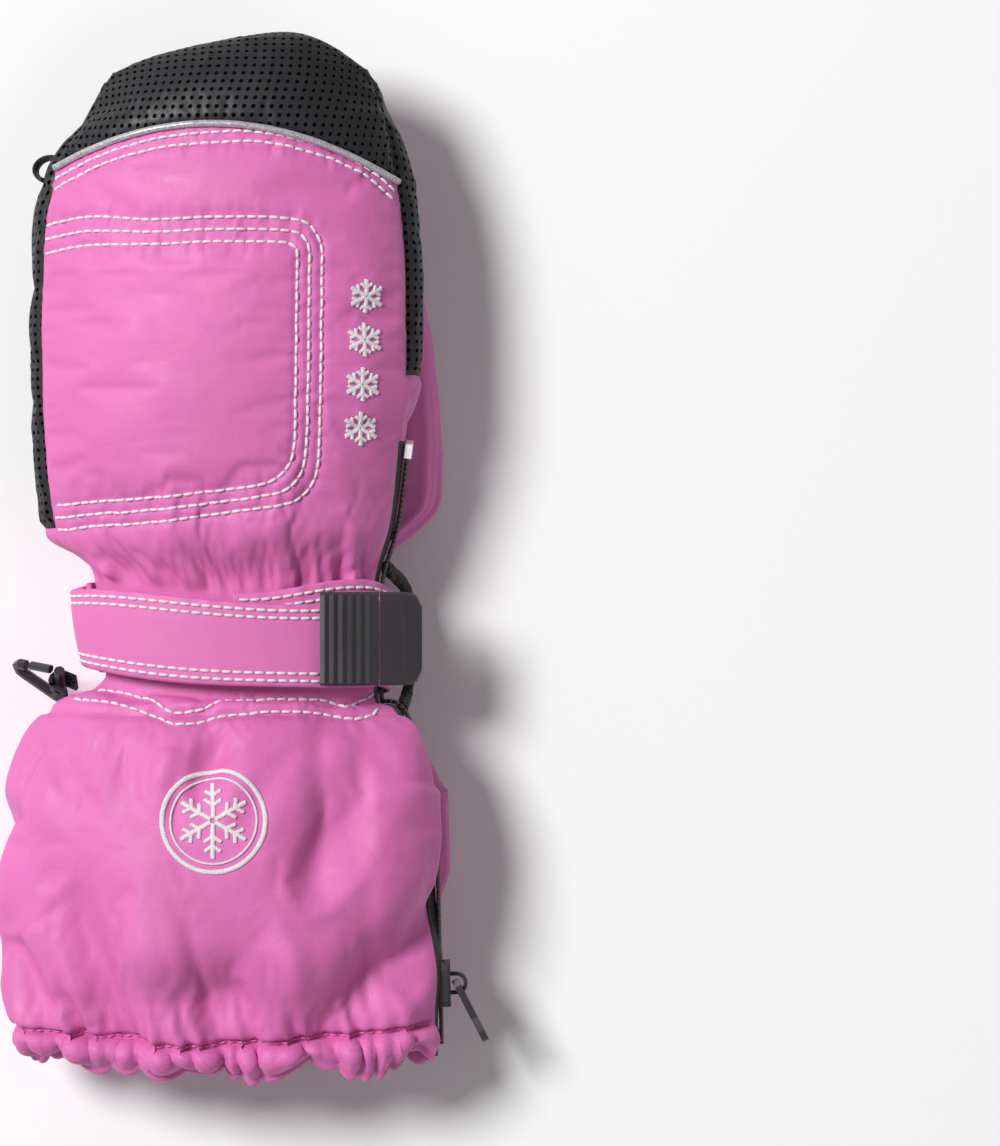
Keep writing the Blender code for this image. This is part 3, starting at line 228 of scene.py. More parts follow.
def loop_points(values, columns):
    """One loop of the pattern at the given columns."""
    at = dict(zip(FIELDS, values))
    left, right = at["centre"] - at["width"] / 2, at["centre"] + at["width"] / 2
    if at["y"] <= CUFF_UPPER_AT:
        share = (at["y"] + CUFF_REACH) / (CUFF_UPPER_AT + CUFF_REACH)
        right = mix(HEM_WIDTH / 2 + ZIP_PAST_HEM, CUFF_UPPER_WIDTH / 2 + ZIP_PAST_CUFF, share)
        right -= at["right_out"]
    nest = max(at["floor"], THUMB_THICKNESS + THUMB_NEST)
    raised = ease(at["y"], *PALM_CLIMB)
    left_seam, right_seam = at["left_mid"] + at["left_half"], at["right_mid"] + at["right_half"]
    inner, _ = thumb_edges(at["y"])

    def along(s, setback):
        lag = mix(at["back_left"], at["back_right"], s) * setback
        return at["y"] + at["skew"] * s + at["bow"] * 4 * s * (1 - s) - lag

    def back(s):
        dome = (at["crown"] - (left_seam + right_seam) / 2) * (1 - np.abs(2 * s - 1) ** 2.4)
        fold = at["fold"] * np.sin(2 * np.pi * FOLD_WAVES * s) * np.sin(np.pi * s)
        return np.stack([mix(left, right, s), along(s, 0), mix(left_seam, right_seam, s) + dome + fold], -1)

    def palm(s):
        x = mix(left + at["inset"], right, s)
        base = mix(at["floor"], nest, raised * ease(x, inner - NEST_RAMP[0], inner + NEST_RAMP[1]))
        rise = (at["left_mid"] - at["left_half"] - at["floor"]) * np.maximum(0, 1 - s / LEFT_RISE) ** 2
        right_low = at["right_mid"] - at["right_half"] - mix(at["floor"], nest, raised)
        rise = rise + right_low * np.maximum(0, 1 - (1 - s) / RIGHT_RISE) ** 2
        return np.stack([x, along(s, 1), np.maximum(0, base + rise)], -1)

    zero, one = np.array(0.0), np.array(1.0)
    right_middle = np.array([right + at["right_out"], along(1, 0) - at["back_right"] / 2, at["right_mid"]])
    left_middle = np.array([left - at["left_out"], along(0, 0) - at["back_left"] / 2, at["left_mid"]])
    c = columns[:, None]
    places = [back(np.clip(columns / BACK_END, 0, 1)),
              arc3(back(one), right_middle, palm(one), (columns - BACK_END) / 2),
              palm(np.clip((PALM_END - columns) / BACK_END, 0, 1)),
              arc3(palm(zero), left_middle, back(zero), (columns - PALM_END) / 2)]
    return np.where(c <= BACK_END, places[0],
                    np.where(c < PALM_START, places[1], np.where(c <= PALM_END, places[2], places[3])))


def smoothed(points, rounds):
    """Evened out round each loop."""
    for _ in range(rounds):
        points = (np.roll(points, 1, 1) + 2 * points + np.roll(points, -1, 1)) / 4
    return points


def pattern():
    """Grid points, and the station value of each row and the column value of each column."""
    table = stations()
    rows = []
    for i in range(TIP):
        count = max(2, round(abs(table[i + 1][0] - table[i][0]) / ROW_STEP))
        rows += [i + k / count for k in range(count)]
    rows = np.array(rows + [float(TIP)])
    columns = np.concatenate([np.linspace(*side, count, endpoint=False)
                              for side, count in zip(SIDES, COLUMN_COUNTS)])
    points = np.stack([loop_points(through(table, row), columns) for row in rows])
    round_side = smoothed(points, LOOP_ROUNDS)
    near_zip = np.clip(np.abs(columns - ZIP_LINE) - 1, 0, 1.5) / 1.5
    sewn_smooth = (1 - ease(rows, STRAP_HIGH, GATHER))[:, None] * near_zip[None, :]
    points = mix(points, round_side, sewn_smooth[..., None])
    return points + SETTLE, rows, columns


BASE, ROWS, COLUMNS = pattern()


def normals_of(points):
    """Outward directions of a grid that closes on itself round each loop."""
    round_way = np.roll(points, -1, 1) - np.roll(points, 1, 1)
    long_way = np.gradient(points, axis=0)
    return unit(np.cross(round_way, long_way))


def row_at(value):
    """Fractional grid row of a station value."""
    return np.interp(value, ROWS, np.arange(len(ROWS)))


def column_at(value):
    ends = np.append(COLUMNS, ROUND)
    return np.interp(np.mod(value, ROUND), ends, np.arange(len(ends)))


def sampled(grid, rows, columns):
    """Grid values at fractional rows and columns."""
    count = grid.shape[1]
    rows = np.clip(rows, 0, grid.shape[0] - 1.001)
    r, c = np.floor(rows).astype(int), np.floor(columns).astype(int)
    u, w = (rows - r)[..., None], (columns - c)[..., None]
    a, b = grid[r, c % count], grid[r, (c + 1) % count]
    d, e = grid[r + 1, c % count], grid[r + 1, (c + 1) % count]
    return mix(mix(a, b, w), mix(d, e, w), u)


# ---- Seams and rows of stitching ----
def curve(knots, step=0.6):
    """Points at even distances along a smooth curve through knots, in the plane."""
    knots = np.asarray(knots, float)
    fine = np.array([through(knots, t) for t in np.linspace(0, len(knots) - 1, 24 * len(knots))])
    run = run_of(fine)
    return read_at(np.linspace(0, run[-1], max(2, int(run[-1] / step))), run, fine)


def located(places, first, last):
    """Fractional rows and columns of places seen from above or below, between two columns."""
    low, high = int(round(float(column_at(first)))), int(round(float(column_at(last - 1e-6))))
    region = BASE[:, low:high + 1, :2]
    flat = region.reshape(-1, 2)
    nearest = np.array([np.argmin(((flat - p) ** 2).sum(1)) for p in places])
    rows, columns = nearest // region.shape[1] + 0.0, nearest % region.shape[1] + low + 0.0
    for _ in range(4):
        here = sampled(BASE, rows, columns)[:, :2]
        by_row = sampled(BASE, rows + 0.5, columns)[:, :2] - sampled(BASE, rows - 0.5, columns)[:, :2]
        by_column = sampled(BASE, rows, columns + 0.5)[:, :2] - sampled(BASE, rows, columns - 0.5)[:, :2]
        off = places - here
        span = by_row[:, 0] * by_column[:, 1] - by_row[:, 1] * by_column[:, 0]
        span = np.where(np.abs(span) < 0.05, 0.05, span)
        rows = rows + np.clip((off[:, 0] * by_column[:, 1] - off[:, 1] * by_column[:, 0]) / span, -2, 2)
        columns = columns + np.clip((by_row[:, 0] * off[:, 1] - by_row[:, 1] * off[:, 0]) / span, -2, 2)
        rows = np.clip(rows, 0, len(ROWS) - 1.001)
        columns = np.clip(columns, low, high)
    return rows, columns


def on_back(*pixels):
    """A row of stitches over the back, through pixels of the photograph."""
    return located(curve([at_pixel(*p) for p in pixels]), 0, BACK_END)


def rounded_corner(centre, radius, count=4):
    """Pixels on a quarter turn from pointing right-up to right-down."""
    turns = [math.pi / 2 * i / (count - 1) for i in range(count)]
    return [(centre[0] + radius * math.sin(t), centre[1] - radius * math.cos(t)) for t in turns]


def along_row(row, first, last, count=400):
    """A row of stitches that keeps to one loop of the pattern."""
    columns = np.linspace(column_at(first), column_at(last), count)
    return np.full(count, float(row_at(row))), columns


# The rows of stitches as the photograph shows them, in its pixels.
ROW_GAP = 12
HAND_ROW_COUNT, FIRST_REACH, CORNER = 3, 11, (290, 258)
PIPING_ROW_DROPS = (12, 22)
PIPING_ROW = ((56, 170), (110, 146), (180, 130), (250, 126), (320, 138), (370, 160), (398, 184))
CUFF_ROW = ((77, 690), (116, 691), (150, 698), (180, 711), (200, 709), (226, 702), (280, 698), (322, 699),
            (346, 705), (378, 693))


def lowered(pixels, drop):
    return [(px, py + drop) for px, py in pixels]


def hand_stitching():
    """Three rows that frame the back of the hand, two below the piping."""
    lines = []
    for i in range(HAND_ROW_COUNT):
        reach = FIRST_REACH + ROW_GAP * i
        top = CORNER[1] - reach
        side = CORNER[0] + reach
        left = [(48, 256 - 14 * i), (100, 249 - 14 * i), (160, top + 2), (220, top), (262, top)]
        bottom = [(side - 1, 380), (side - 2, 440), (side - 6, 462 + 8 * i), (side - 26, 484 + 9 * i),
                  (230, 492 + 11 * i), (150, 500 + 12 * i), (56, 506 + 12 * i)]
        lines.append(on_back(*left, *rounded_corner((CORNER[0], top + reach), reach)[1:], *bottom))
    return lines + [on_back(*lowered(PIPING_ROW, drop)) for drop in PIPING_ROW_DROPS]


def cuff_stitching():
    """Two rows along the seam between wrist and cuff, on the back and on the palm side."""
    lines = [on_back(*lowered(CUFF_ROW, drop)) for drop in (0, ROW_GAP)]
    return lines + [along_row(value, PALM_START + 0.4, PALM_END + 0.9)
                    for value in (CUFF_SEAM + 0.05, CUFF_SEAM + 0.22)]


ZIGZAG_PEAKS, ZIGZAG_INSET = 9, 3.2


def palm_stitching():
    return [along_row(GATHER - 0.14, PALM_START + 0.2, PALM_END - 0.2)]


def elastic_zigzag():
    """The zigzag that sews the wrist's elastic on the palm side."""
    knots = []
    for i in range(2 * ZIGZAG_PEAKS + 1):
        column = mix(PALM_START + ZIGZAG_INSET, PALM_END - ZIGZAG_INSET, i / (2 * ZIGZAG_PEAKS))
        knots.append((row_at(GATHER - (0.5 if i % 2 else 0.85)), column_at(column)))
    at = np.linspace(0, len(knots) - 1, 60 * ZIGZAG_PEAKS)
    return [tuple(read_at(at, np.arange(len(knots)), np.array(knots)).T)]


HAND_ROWS = hand_stitching()
BACK_ROWS = HAND_ROWS + cuff_stitching()
PALM_ROWS = palm_stitching()
ZIGZAG = elastic_zigzag()
HEM_ROWS = [along_row(HEM_TOP + 0.02, 0.0, BACK_END - 0.2, 500),
            along_row(HEM_TOP + 0.02, PALM_START + 0.2, ROUND - 0.01, 600)]


# ---- Folds ----
# Gathers, each layer with its waves round the loop, its height and how far it reaches.
HEM_GATHERS = ((30, 1.0, 6), (15, 1.4, 11), (6, 1.9, 30))
WRIST_GATHERS = ((22, 0.4, 6), (11, 0.9, 13), (5, 2.0, 40))
HAND_GATHERS = ((28, 0.8, 8), (15, 1.1, 15), (8, 0.8, 26))
THUMB_GATHERS = ((18, 0.4, 9), (9, 0.7, 20))
GATHER_LEAN = 0.0006  # of the hem's gathers, in shares of the loop a millimetre
BALLOON, BALLOON_START, BALLOON_REACH = 2.6, 5, 32  # the cuff blouses over the elastic hem
CUFF_SLACK, HAND_SLACK = 2.2, 1.1  # height of the soft dents
OVERHANG = (5.2, 7.4)  # of the cuff's back and palm panels, past the zip
CAP_PEAK, CAP_SPREAD, CAP_RISE, CAP_DROP = at_pixel(318, 0)[0], 13.0, 3.0, 1.2
CREASES = (  # how far each reaches to its sides, its depth, and its line over the cuff's back
    (5.0, 3.2, ((60, 732), (34, 756), (14, 790), (4, 840))),
    (4.0, 1.5, ((112, 742), (128, 764), (130, 790), (118, 816))),
    (4.5, 2.8, ((212, 728), (222, 745), (212, 768), (188, 800))),
    (6.0, 3.8, ((340, 730), (350, 765), (340, 812), (318, 862), (300, 905))),
    (6.0, 4.0, ((428, 880), (411, 925), (384, 965), (345, 1002), (322, 1026))),
    (4.5, 3.0, ((6, 930), (32, 956), (50, 992), (76, 1012))),
    (5.5, 3.2, ((66, 880), (92, 930), (120, 985), (118, 1020))),
    (6.5, 3.4, ((135, 1004), (185, 996), (240, 998), (292, 1012))),
    (5.0, 1.6, ((250, 905), (258, 940), (240, 975))),
)


def ripples(share, waves, seed):
    """A smooth irregular wave round the loop, about one high, with roughly so many waves."""
    chance = np.random.default_rng(seed)
    counts = np.unique(np.round(waves * np.linspace(0.55, 1.45, 7)).astype(int))
    total = np.zeros_like(share)
    for n in counts:
        total += chance.uniform(0.5, 1.0) * np.cos(2 * np.pi * (n * share + chance.uniform()))
    return total / math.sqrt(len(counts) * 0.28)


def gathers(share, distance, layers, seed):
    """Folds that run away from a gathered seam: fine beside it, fewer and broader further off."""
    total = np.zeros_like(distance)
    for i, (waves, height, reach) in enumerate(layers):
        wave = ripples(share, waves, seed + i)
        fold = 0.55 * wave + 0.45 * (1.0 - 2.2 * np.exp(-2.2 * wave**2))
        total += height * fold * np.exp(-distance / reach)
    return total


def dents(points, large, small, share):
    """Soft unevenness of two sizes over a grid of points."""
    return np.array([[noise.noise(Vector(p) / large) + share * noise.noise(Vector(p) / small) for p in row]
                     for row in points])


def folded(points):
    """The pattern with its gathers at the hem, the wrist and the hand, and soft dents all over."""
    length = np.linalg.norm(np.roll(points, -1, 1) - points, axis=-1)
    share = np.cumsum(length, 1) - length
    share = share / length.sum(1, keepdims=True)
    run = np.repeat(run_of(points[:, BACK_COLUMNS // 2])[:, None], points.shape[1], 1)
    rows = np.repeat(ROWS[:, None], points.shape[1], 1)

    def away(value):
        return run - np.interp(value, ROWS, run[:, 0])

    past_hem = np.maximum(away(HEM_TOP), 0)
    hem = gathers(share + GATHER_LEAN * away(CUFF_WIDE), past_hem, HEM_GATHERS, 11)
    hem = hem + BALLOON * (1 - np.exp(-past_hem / BALLOON_START)) * np.exp(-past_hem / BALLOON_REACH)
    hem = hem * (1 - ease(rows, CUFF_UPPER, CUFF_SEAM)) * ease(rows, HEM, HEM_TOP)
    wrist = gathers(share, np.abs(away(CUFF_SEAM)), WRIST_GATHERS, 29)
    wrist = wrist * ease(-away(CUFF_SEAM), 2.0, 12.0) * ease(rows, CUFF_WIDE - 0.8, CUFF_UPPER)
    wrist = wrist * (1 - ease(rows, STRAP_LOW - 0.3, STRAP_LOW + 0.1))
    hand = gathers(share, np.abs(away(STRAP_HIGH)), HAND_GATHERS, 47)
    hand = hand * ease(rows, STRAP_HIGH - 0.1, STRAP_HIGH + 0.2)
    off_zip = ease(np.abs(COLUMNS - ZIP_LINE), 1.0, 2.6)[None, :]
    gusset = ((COLUMNS > BACK_END) & (COLUMNS < PALM_START)) | (COLUMNS > PALM_END)
    on_palm = (COLUMNS >= PALM_START) & (COLUMNS <= PALM_END)
    calm = np.where((gusset | on_palm)[None, :], 1 - 0.85 * ease(rows, GATHER - 0.3, GATHER + 0.3), 1.0)
    slack = mix(CUFF_SLACK, HAND_SLACK, ease(rows, CUFF_SEAM - 0.3, CUFF_SEAM))
    broad = dents(points, 30, 11, 0.35) * slack
    broad = broad * (1 - ease(rows, PIPING - 0.4, PIPING)) * ease(rows, HEM, HEM_TOP + 0.5)
    under_strap = ease(np.abs(rows - (STRAP_LOW + STRAP_HIGH) / 2), 0.35, 0.65)
    height = (hem + wrist + hand) * off_zip * calm + broad * off_zip * under_strap
    height = height * (1 - ease(rows, PIPING - 0.5, PIPING - 0.05)) - creases(points)
    return points + normals_of(points) * height[..., None] + over_zip(rows) + cap_shape(points, rows)


def creases(points):
    """The depth of the cuff's large folds, each a valley with a ridge along both sides."""
    depth = np.zeros(points.shape[:2])
    for reach, deep, pixels in CREASES:
        rows, columns = on_back(*pixels)
        line = sampled(points, rows, columns)
        gap = np.linalg.norm(points[:, :, None] - line, axis=-1)
        nearest = gap.argmin(-1) / (len(line) - 1)
        gap = gap.min(-1) / reach
        valley = np.exp(-(gap**2)) - 0.45 * np.exp(-((gap - 1.9) ** 2))
        depth += deep * valley * np.sin(np.pi * np.clip(nearest, 0.04, 0.96)) ** 0.6
    return depth


def over_zip(rows):
    """Both of the cuff's panels bulge sideways past the upper half of the zip, the palm's further down."""
    start = ease(rows, CUFF_WIDE - 0.5, CUFF_WIDE + 0.4)
    above = start * (1 - ease(rows, CUFF_SEAM - 0.3, CUFF_SEAM + 0.35))
    above = above * ease(COLUMNS, BACK_END - 4, BACK_END - 0.8)
    above = above * (1 - ease(COLUMNS, BACK_END - 0.45, BACK_END))
    below = start * (1 - ease(rows, CUFF_UPPER, CUFF_SEAM))
    below = below * (1 - ease(COLUMNS, PALM_START + 0.8, PALM_START + 4))
    below = below * ease(COLUMNS, PALM_START, PALM_START + 0.45)
    return (OVERHANG[0] * above + OVERHANG[1] * below)[..., None] * np.array((1.0, 0.0, 0.0))


def cap_shape(points, rows):
    """The fingertips reach furthest above the middle finger, with flatter shoulders beside it."""
    across = (points[..., 0] - CAP_PEAK) / CAP_SPREAD
    rise = CAP_RISE * np.exp(-(across**2)) - CAP_DROP * np.exp(-((across + 2.2) ** 2))
    return (rise * ease(rows, PIPING, TIP))[..., None] * np.array((0.0, 1.0, 0.0))


def seam_mask():
    """Where the fabric is held: seams, the strap, the zip, the hem's elastic, the fingertips."""
    rows, columns = np.meshgrid(ROWS, COLUMNS, indexing="ij")

    def on(values, place, reach):
        return np.abs(values - place) < reach

    side = 1.01 / SIDE_COLUMNS
    held = (rows <= HEM_TOP + 0.01) | (rows >= TIP - 0.01) | on(rows, CUFF_SEAM, 0.09)
    held |= (rows >= STRAP_LOW - 0.05) & (rows <= STRAP_HIGH + 0.05)
    held |= (rows <= ZIP_TOP) & (np.abs(columns - ZIP_LINE) < 1.15)
    on_hand = rows >= GATHER
    held |= (rows >= GUSSET_POINT) & (on(columns, BACK_END, side) | on(columns, PALM_START, side))
    held |= on_hand & (on(columns, PALM_END, side) | on(columns, 0, side))
    held |= on(rows, PIPING, 0.1) & (columns <= BACK_END)
    held |= on(rows, GATHER, 0.15) & (columns >= PALM_START) & (columns <= PALM_END)
    return held


def quilting(held):
    """How firmly each point is held: fully at seams, partly along the rows of stitching."""
    weight = held * 1.0
    for rows, columns in HAND_ROWS:
        r, c = np.round(rows).astype(int), np.round(columns).astype(int) % len(COLUMNS)
        weight[r, c] = np.maximum(weight[r, c], QUILT_HOLD)
    return weight


QUILT_HOLD = 0.7
SIM_SCALE = 0.01  # the simulation takes 100 mm as one unit, a size that its solver is made for
SIM_FRAMES = 22
MOST_MOVED = 3.2
FABRIC = {"quality": 5, "mass": 0.2, "air_damping": 2, "tension_stiffness": 25, "compression_stiffness": 25,
          "shear_stiffness": 8, "bending_stiffness": 0.6, "vertex_group_mass": "held", "use_pressure": True}


def grid_quads(rows, columns, closed=False):
    """Quads of a grid of points; a closed one joins its last column to its first."""
    index = np.arange(rows * columns).reshape(rows, columns)
    nxt = np.roll(index, -1, 1) if closed else index[:, 1:]
    here = index if closed else index[:, :-1]
    return np.stack([here[:-1], nxt[:-1], nxt[1:], here[1:]], -1).reshape(-1, 4)


def puffed(points, weight, spare, pressure):
    """The fabric blown up a little, its spare length wrinkling between what holds it."""
    mesh = bpy.data.meshes.new("puff")
    faces = grid_quads(*weight.shape, closed=True).tolist()
    mesh.from_pydata((points.reshape(-1, 3) * SIM_SCALE).tolist(), [], faces)
    obj = bpy.data.objects.new("puff", mesh)
    bpy.context.scene.collection.objects.link(obj)
    group = obj.vertex_groups.new(name="held")
    flat = weight.reshape(-1)
    for value in np.unique(flat[flat > 0]):
        group.add(np.nonzero(flat == value)[0].tolist(), float(value), "REPLACE")
    cloth = obj.modifiers.new("cloth", "CLOTH")
    for name, value in FABRIC.items():
        setattr(cloth.settings, name, value)
    cloth.settings.uniform_pressure_force = pressure
    cloth.settings.shrink_min = -spare
    cloth.settings.effector_weights.gravity = 0
    cloth.collision_settings.use_collision = False
    cloth.point_cache.frame_start = 1
    cloth.point_cache.frame_end = SIM_FRAMES
    scene = bpy.context.scene
    for number in range(1, SIM_FRAMES + 1):
        scene.frame_set(number)
    moved = obj.evaluated_get(bpy.context.evaluated_depsgraph_get()).data
    place = np.empty(len(moved.vertices) * 3, np.float32)
    moved.vertices.foreach_get("co", place)
    bpy.data.objects.remove(obj, do_unlink=True)
    scene.frame_set(1)
    place = place.reshape(points.shape).astype(float) / SIM_SCALE
    move = place - points
    length = np.linalg.norm(move, axis=-1, keepdims=True)
    return points + move * np.minimum(1, MOST_MOVED / np.maximum(length, 1e-9))


def doubled(values):
    """The same grid with a smooth point between each two, both ways."""
    before, after, further = np.roll(values, 1, 1), np.roll(values, -1, 1), np.roll(values, -2, 1)
    between = (9 * (values + after) - before - further) / 16
    wide = np.stack([values, between], 2).reshape(values.shape[0], -1, *values.shape[2:])
    padded = np.concatenate([2 * wide[:1] - wide[1:2], wide, 2 * wide[-1:] - wide[-2:-1]])
    between = (9 * (padded[1:-2] + padded[2:-1]) - padded[:-3] - padded[3:]) / 16
    tall = np.empty((2 * wide.shape[0] - 1, *wide.shape[1:]))
    tall[0::2] = wide
    tall[1::2] = between
    return tall


PUCKER_LENGTHS, PUCKER_REACH = (3.3, 4.6, 6.1, 9.5), 2.6
SEWN_REACH = 5  # nothing moves further than this from its row of stitches
AT_ONCE = 20000  # points measured together, which keeps the memory small


def sewn_lines(points, lines, depth, width, pucker, seed):
    """Each row of stitches draws the fabric in, and puckers it across."""
    normals = normals_of(points)
    flat = points.reshape(-1, 3)
    move = np.zeros(len(flat))
    chance = np.random.default_rng(seed)
    for rows, columns in lines:
        line = sampled(points, 2 * rows, 2 * columns)
        picked, run = line[::2], run_of(line)[::2]
        near = np.all((flat > picked.min(0) - SEWN_REACH) & (flat < picked.max(0) + SEWN_REACH), axis=1)
        chosen = np.nonzero(near)[0]
        nearest = np.empty(len(chosen), int)
        gap = np.empty(len(chosen))
        for start in range(0, len(chosen), AT_ONCE):
            some = slice(start, start + AT_ONCE)
            part = flat[chosen[some]]
            squares = (part**2).sum(1)[:, None] + (picked**2).sum(1)[None] - 2 * part @ picked.T
            nearest[some] = squares.argmin(1)
            gap[some] = np.sqrt(np.maximum(squares.min(1), 0))
        wave = sum(chance.uniform(0.4, 1) * np.cos(2 * np.pi * (run[nearest] / length + chance.uniform()))
                   for length in PUCKER_LENGTHS)
        change = pucker * wave / 2 * np.exp(-((gap / PUCKER_REACH) ** 2))
        change = change - depth * np.exp(-((gap / width) ** 2))
        move[chosen] = np.where(np.abs(change) > np.abs(move[chosen]), change, move[chosen])
    return points + normals * move.reshape(points.shape[:2])[..., None]


def seam_grooves(points, depth=0.9, reach=1.3):
    """The panels dip where they meet."""
    fine_rows = np.interp(np.arange(points.shape[0]) / 2, np.arange(len(ROWS)), ROWS)
    fine_columns = np.interp(np.arange(points.shape[1]) / 2, np.arange(len(COLUMNS) + 1),
                             np.append(COLUMNS, ROUND))
    rows, columns = np.meshgrid(fine_rows, fine_columns, indexing="ij")
    per_row = np.linalg.norm(np.gradient(points, axis=0), axis=-1)
    per_row = per_row / np.maximum(np.gradient(rows, axis=0), 1e-6)
    per_column = np.linalg.norm(np.roll(points, -1, 1) - points, axis=-1)
    per_column = per_column / np.maximum(np.roll(columns, -1, 1) - columns, 1e-3)
    per_column[:, -1] = per_column[:, -2]
    dip = np.zeros(rows.shape)

    def groove(distance, where):
        np.maximum(dip, np.exp(-((distance / reach) ** 2)) * where, out=dip)

    on_hand = rows >= GATHER - 0.02
    off_zip = np.abs(columns - ZIP_LINE) > 1
    for seam, where in ((BACK_END, rows >= GUSSET_POINT), (PALM_START, rows >= GATHER),
                        (PALM_END, on_hand), (0, on_hand), (ROUND, on_hand),
                        (BACK_END, (rows <= ZIP_TOP) * 0.5), (PALM_START, (rows <= ZIP_TOP) * 0.5)):
        groove(np.abs(columns - seam) * per_column, where)
    for seam, where in ((PIPING, columns <= BACK_END), (GATHER, columns >= PALM_START),
                        (GUSSET_POINT, (columns >= BACK_END) & (columns <= PALM_START)),
                        (CUFF_SEAM, off_zip), (HEM_TOP, off_zip * 0.8), (TIP, np.ones(rows.shape))):
        groove(np.abs(rows - seam) * per_row, where)
    return points - normals_of(points) * (depth * dip)[..., None], fine_rows, fine_columns


def finished_surface():
    points = folded(BASE)
    points = puffed(points, quilting(seam_mask()), spare=0.012, pressure=1.1)
    points = doubled(points)
    points = sewn_lines(points, BACK_ROWS, 0.5, 0.9, 0.28, 5)
    points = sewn_lines(points, PALM_ROWS + ZIGZAG + HEM_ROWS, 0.6, 1.0, 0.35, 6)
    points, fine_rows, fine_columns = seam_grooves(points)
    points[..., 2] = np.maximum(points[..., 2], 0.05)
    return points, fine_rows, fine_columns


SKIN, FINE_ROWS, FINE_COLUMNS = finished_surface()
SKIN_NORMALS = normals_of(SKIN)


# ---- Materials ----
MAP = "flat_mm"  # each sewn piece's cloth laid flat, in millimetres


class Look:
    """A material built node by node round one Principled shader."""

    def __init__(self, name, colour, roughness, **values):
        self.made = bpy.data.materials.new(name)
        self.made.use_nodes = True
        self.tree = self.made.node_tree
        self.shader = self.tree.nodes["Principled BSDF"]
        self.colour = colour
        self.set("Base Color", (*colour, 1))
        self.set("Roughness", roughness)
        for key, value in values.items():
            self.set(key.replace("_", " "), value)

    def set(self, name, value):
        self.shader.inputs[name].default_value = value

    def node(self, kind, links=(), **values):
        made = self.tree.nodes.new(kind)
        for name, value in values.items():
            setattr(made, name, value)
        for place, value in dict(links).items():
            if isinstance(value, bpy.types.NodeSocket):
                self.tree.links.new(value, made.inputs[place])
            else:
                made.inputs[place].default_value = value
        return made

    def cloth_place(self, scale=(1, 1, 1), turn=0.0):
        """The flat cloth's coordinates, scaled."""
        where = self.node("ShaderNodeUVMap", uv_map=MAP).outputs["UV"]
        return self.node("ShaderNodeMapping", {"Vector": where, "Scale": scale,
                                               "Rotation": (0, 0, turn)}).outputs["Vector"]

    def solid_place(self, scale):
        where = self.node("ShaderNodeTexCoord").outputs["Object"]
        return self.node("ShaderNodeMapping", {"Vector": where, "Scale": (scale,) * 3}).outputs["Vector"]

    def noise(self, place, scale=1.0, detail=3.0, rough=0.55):
        return self.node("ShaderNodeTexNoise", {"Vector": place, "Scale": scale, "Detail": detail,
                                                "Roughness": rough}).outputs["Fac"]

    def wave(self, place, direction="X", distort=0.0):
        return self.node("ShaderNodeTexWave", {"Vector": place, "Scale": 1.0, "Distortion": distort,
                                               "Detail": 1.0}, bands_direction=direction).outputs["Fac"]

    def math(self, operation, a, b=0.0, clamp=False):
        return self.node("ShaderNodeMath", {0: a, 1: b}, operation=operation, use_clamp=clamp).outputs[0]

    def mixed(self, a, b, share):
        """Two values added, the second one's share of the sum given."""
        return self.math("ADD", self.math("MULTIPLY", a, 1 - share), self.math("MULTIPLY", b, share))

    def spread(self, value, low, high, start=0.3, end=0.7):
        """A value's range from start to end, moved to one from low to high."""
        return self.node("ShaderNodeMapRange", {"Value": value, "From Min": start, "From Max": end,
                                                "To Min": low, "To Max": high}).outputs["Result"]

    def shade(self, value, dark, light):
        """Colour from one tint of the base colour to another, by a value."""
        ramp = self.node("ShaderNodeMix", {"Factor": value}, data_type="RGBA")
        ramp.inputs[6].default_value = (*[c * dark for c in self.colour], 1)
        ramp.inputs[7].default_value = (*[min(1, c * light) for c in self.colour], 1)
        return ramp.outputs[2]

    def join(self, socket, name):
        self.tree.links.new(socket, self.shader.inputs[name])

    def bump(self, height, distance, strength=1.0, under=None):
        links = {"Height": height, "Distance": distance, "Strength": strength}
        if under is not None:
            links["Normal"] = under
        return self.node("ShaderNodeBump", links).outputs["Normal"]


TWILL_TURN = math.radians(27)


def shell_fabric(name, colour, crinkle=0.05):
    """Closely woven, slightly shiny ski fabric with fine creases."""
    look = Look(name, colour, 0.5, Sheen_Weight=0.12, Sheen_Roughness=0.35, Specular_IOR_Level=0.45)
    twill = look.wave(look.cloth_place((0.62, 0.62, 1), TWILL_TURN))
    weft = look.wave(look.cloth_place((0.55, 0.55, 1)), "Y", distort=1.5)
    weave = look.mixed(twill, weft, 0.4)
    creases = look.noise(look.solid_place(160.0), detail=5.0, rough=0.6)
    patches = look.noise(look.solid_place(26.0), detail=2.0)
    look.join(look.shade(look.spread(look.mixed(patches, weave, 0.45), 0, 1), 0.93, 1.06), "Base Color")
    look.join(look.spread(creases, 0.5, 0.68), "Roughness")
    first = look.bump(weave, 0.02 * MM)
    look.join(look.bump(creases, crinkle * 4 * MM, under=first), "Normal")
    return look.made


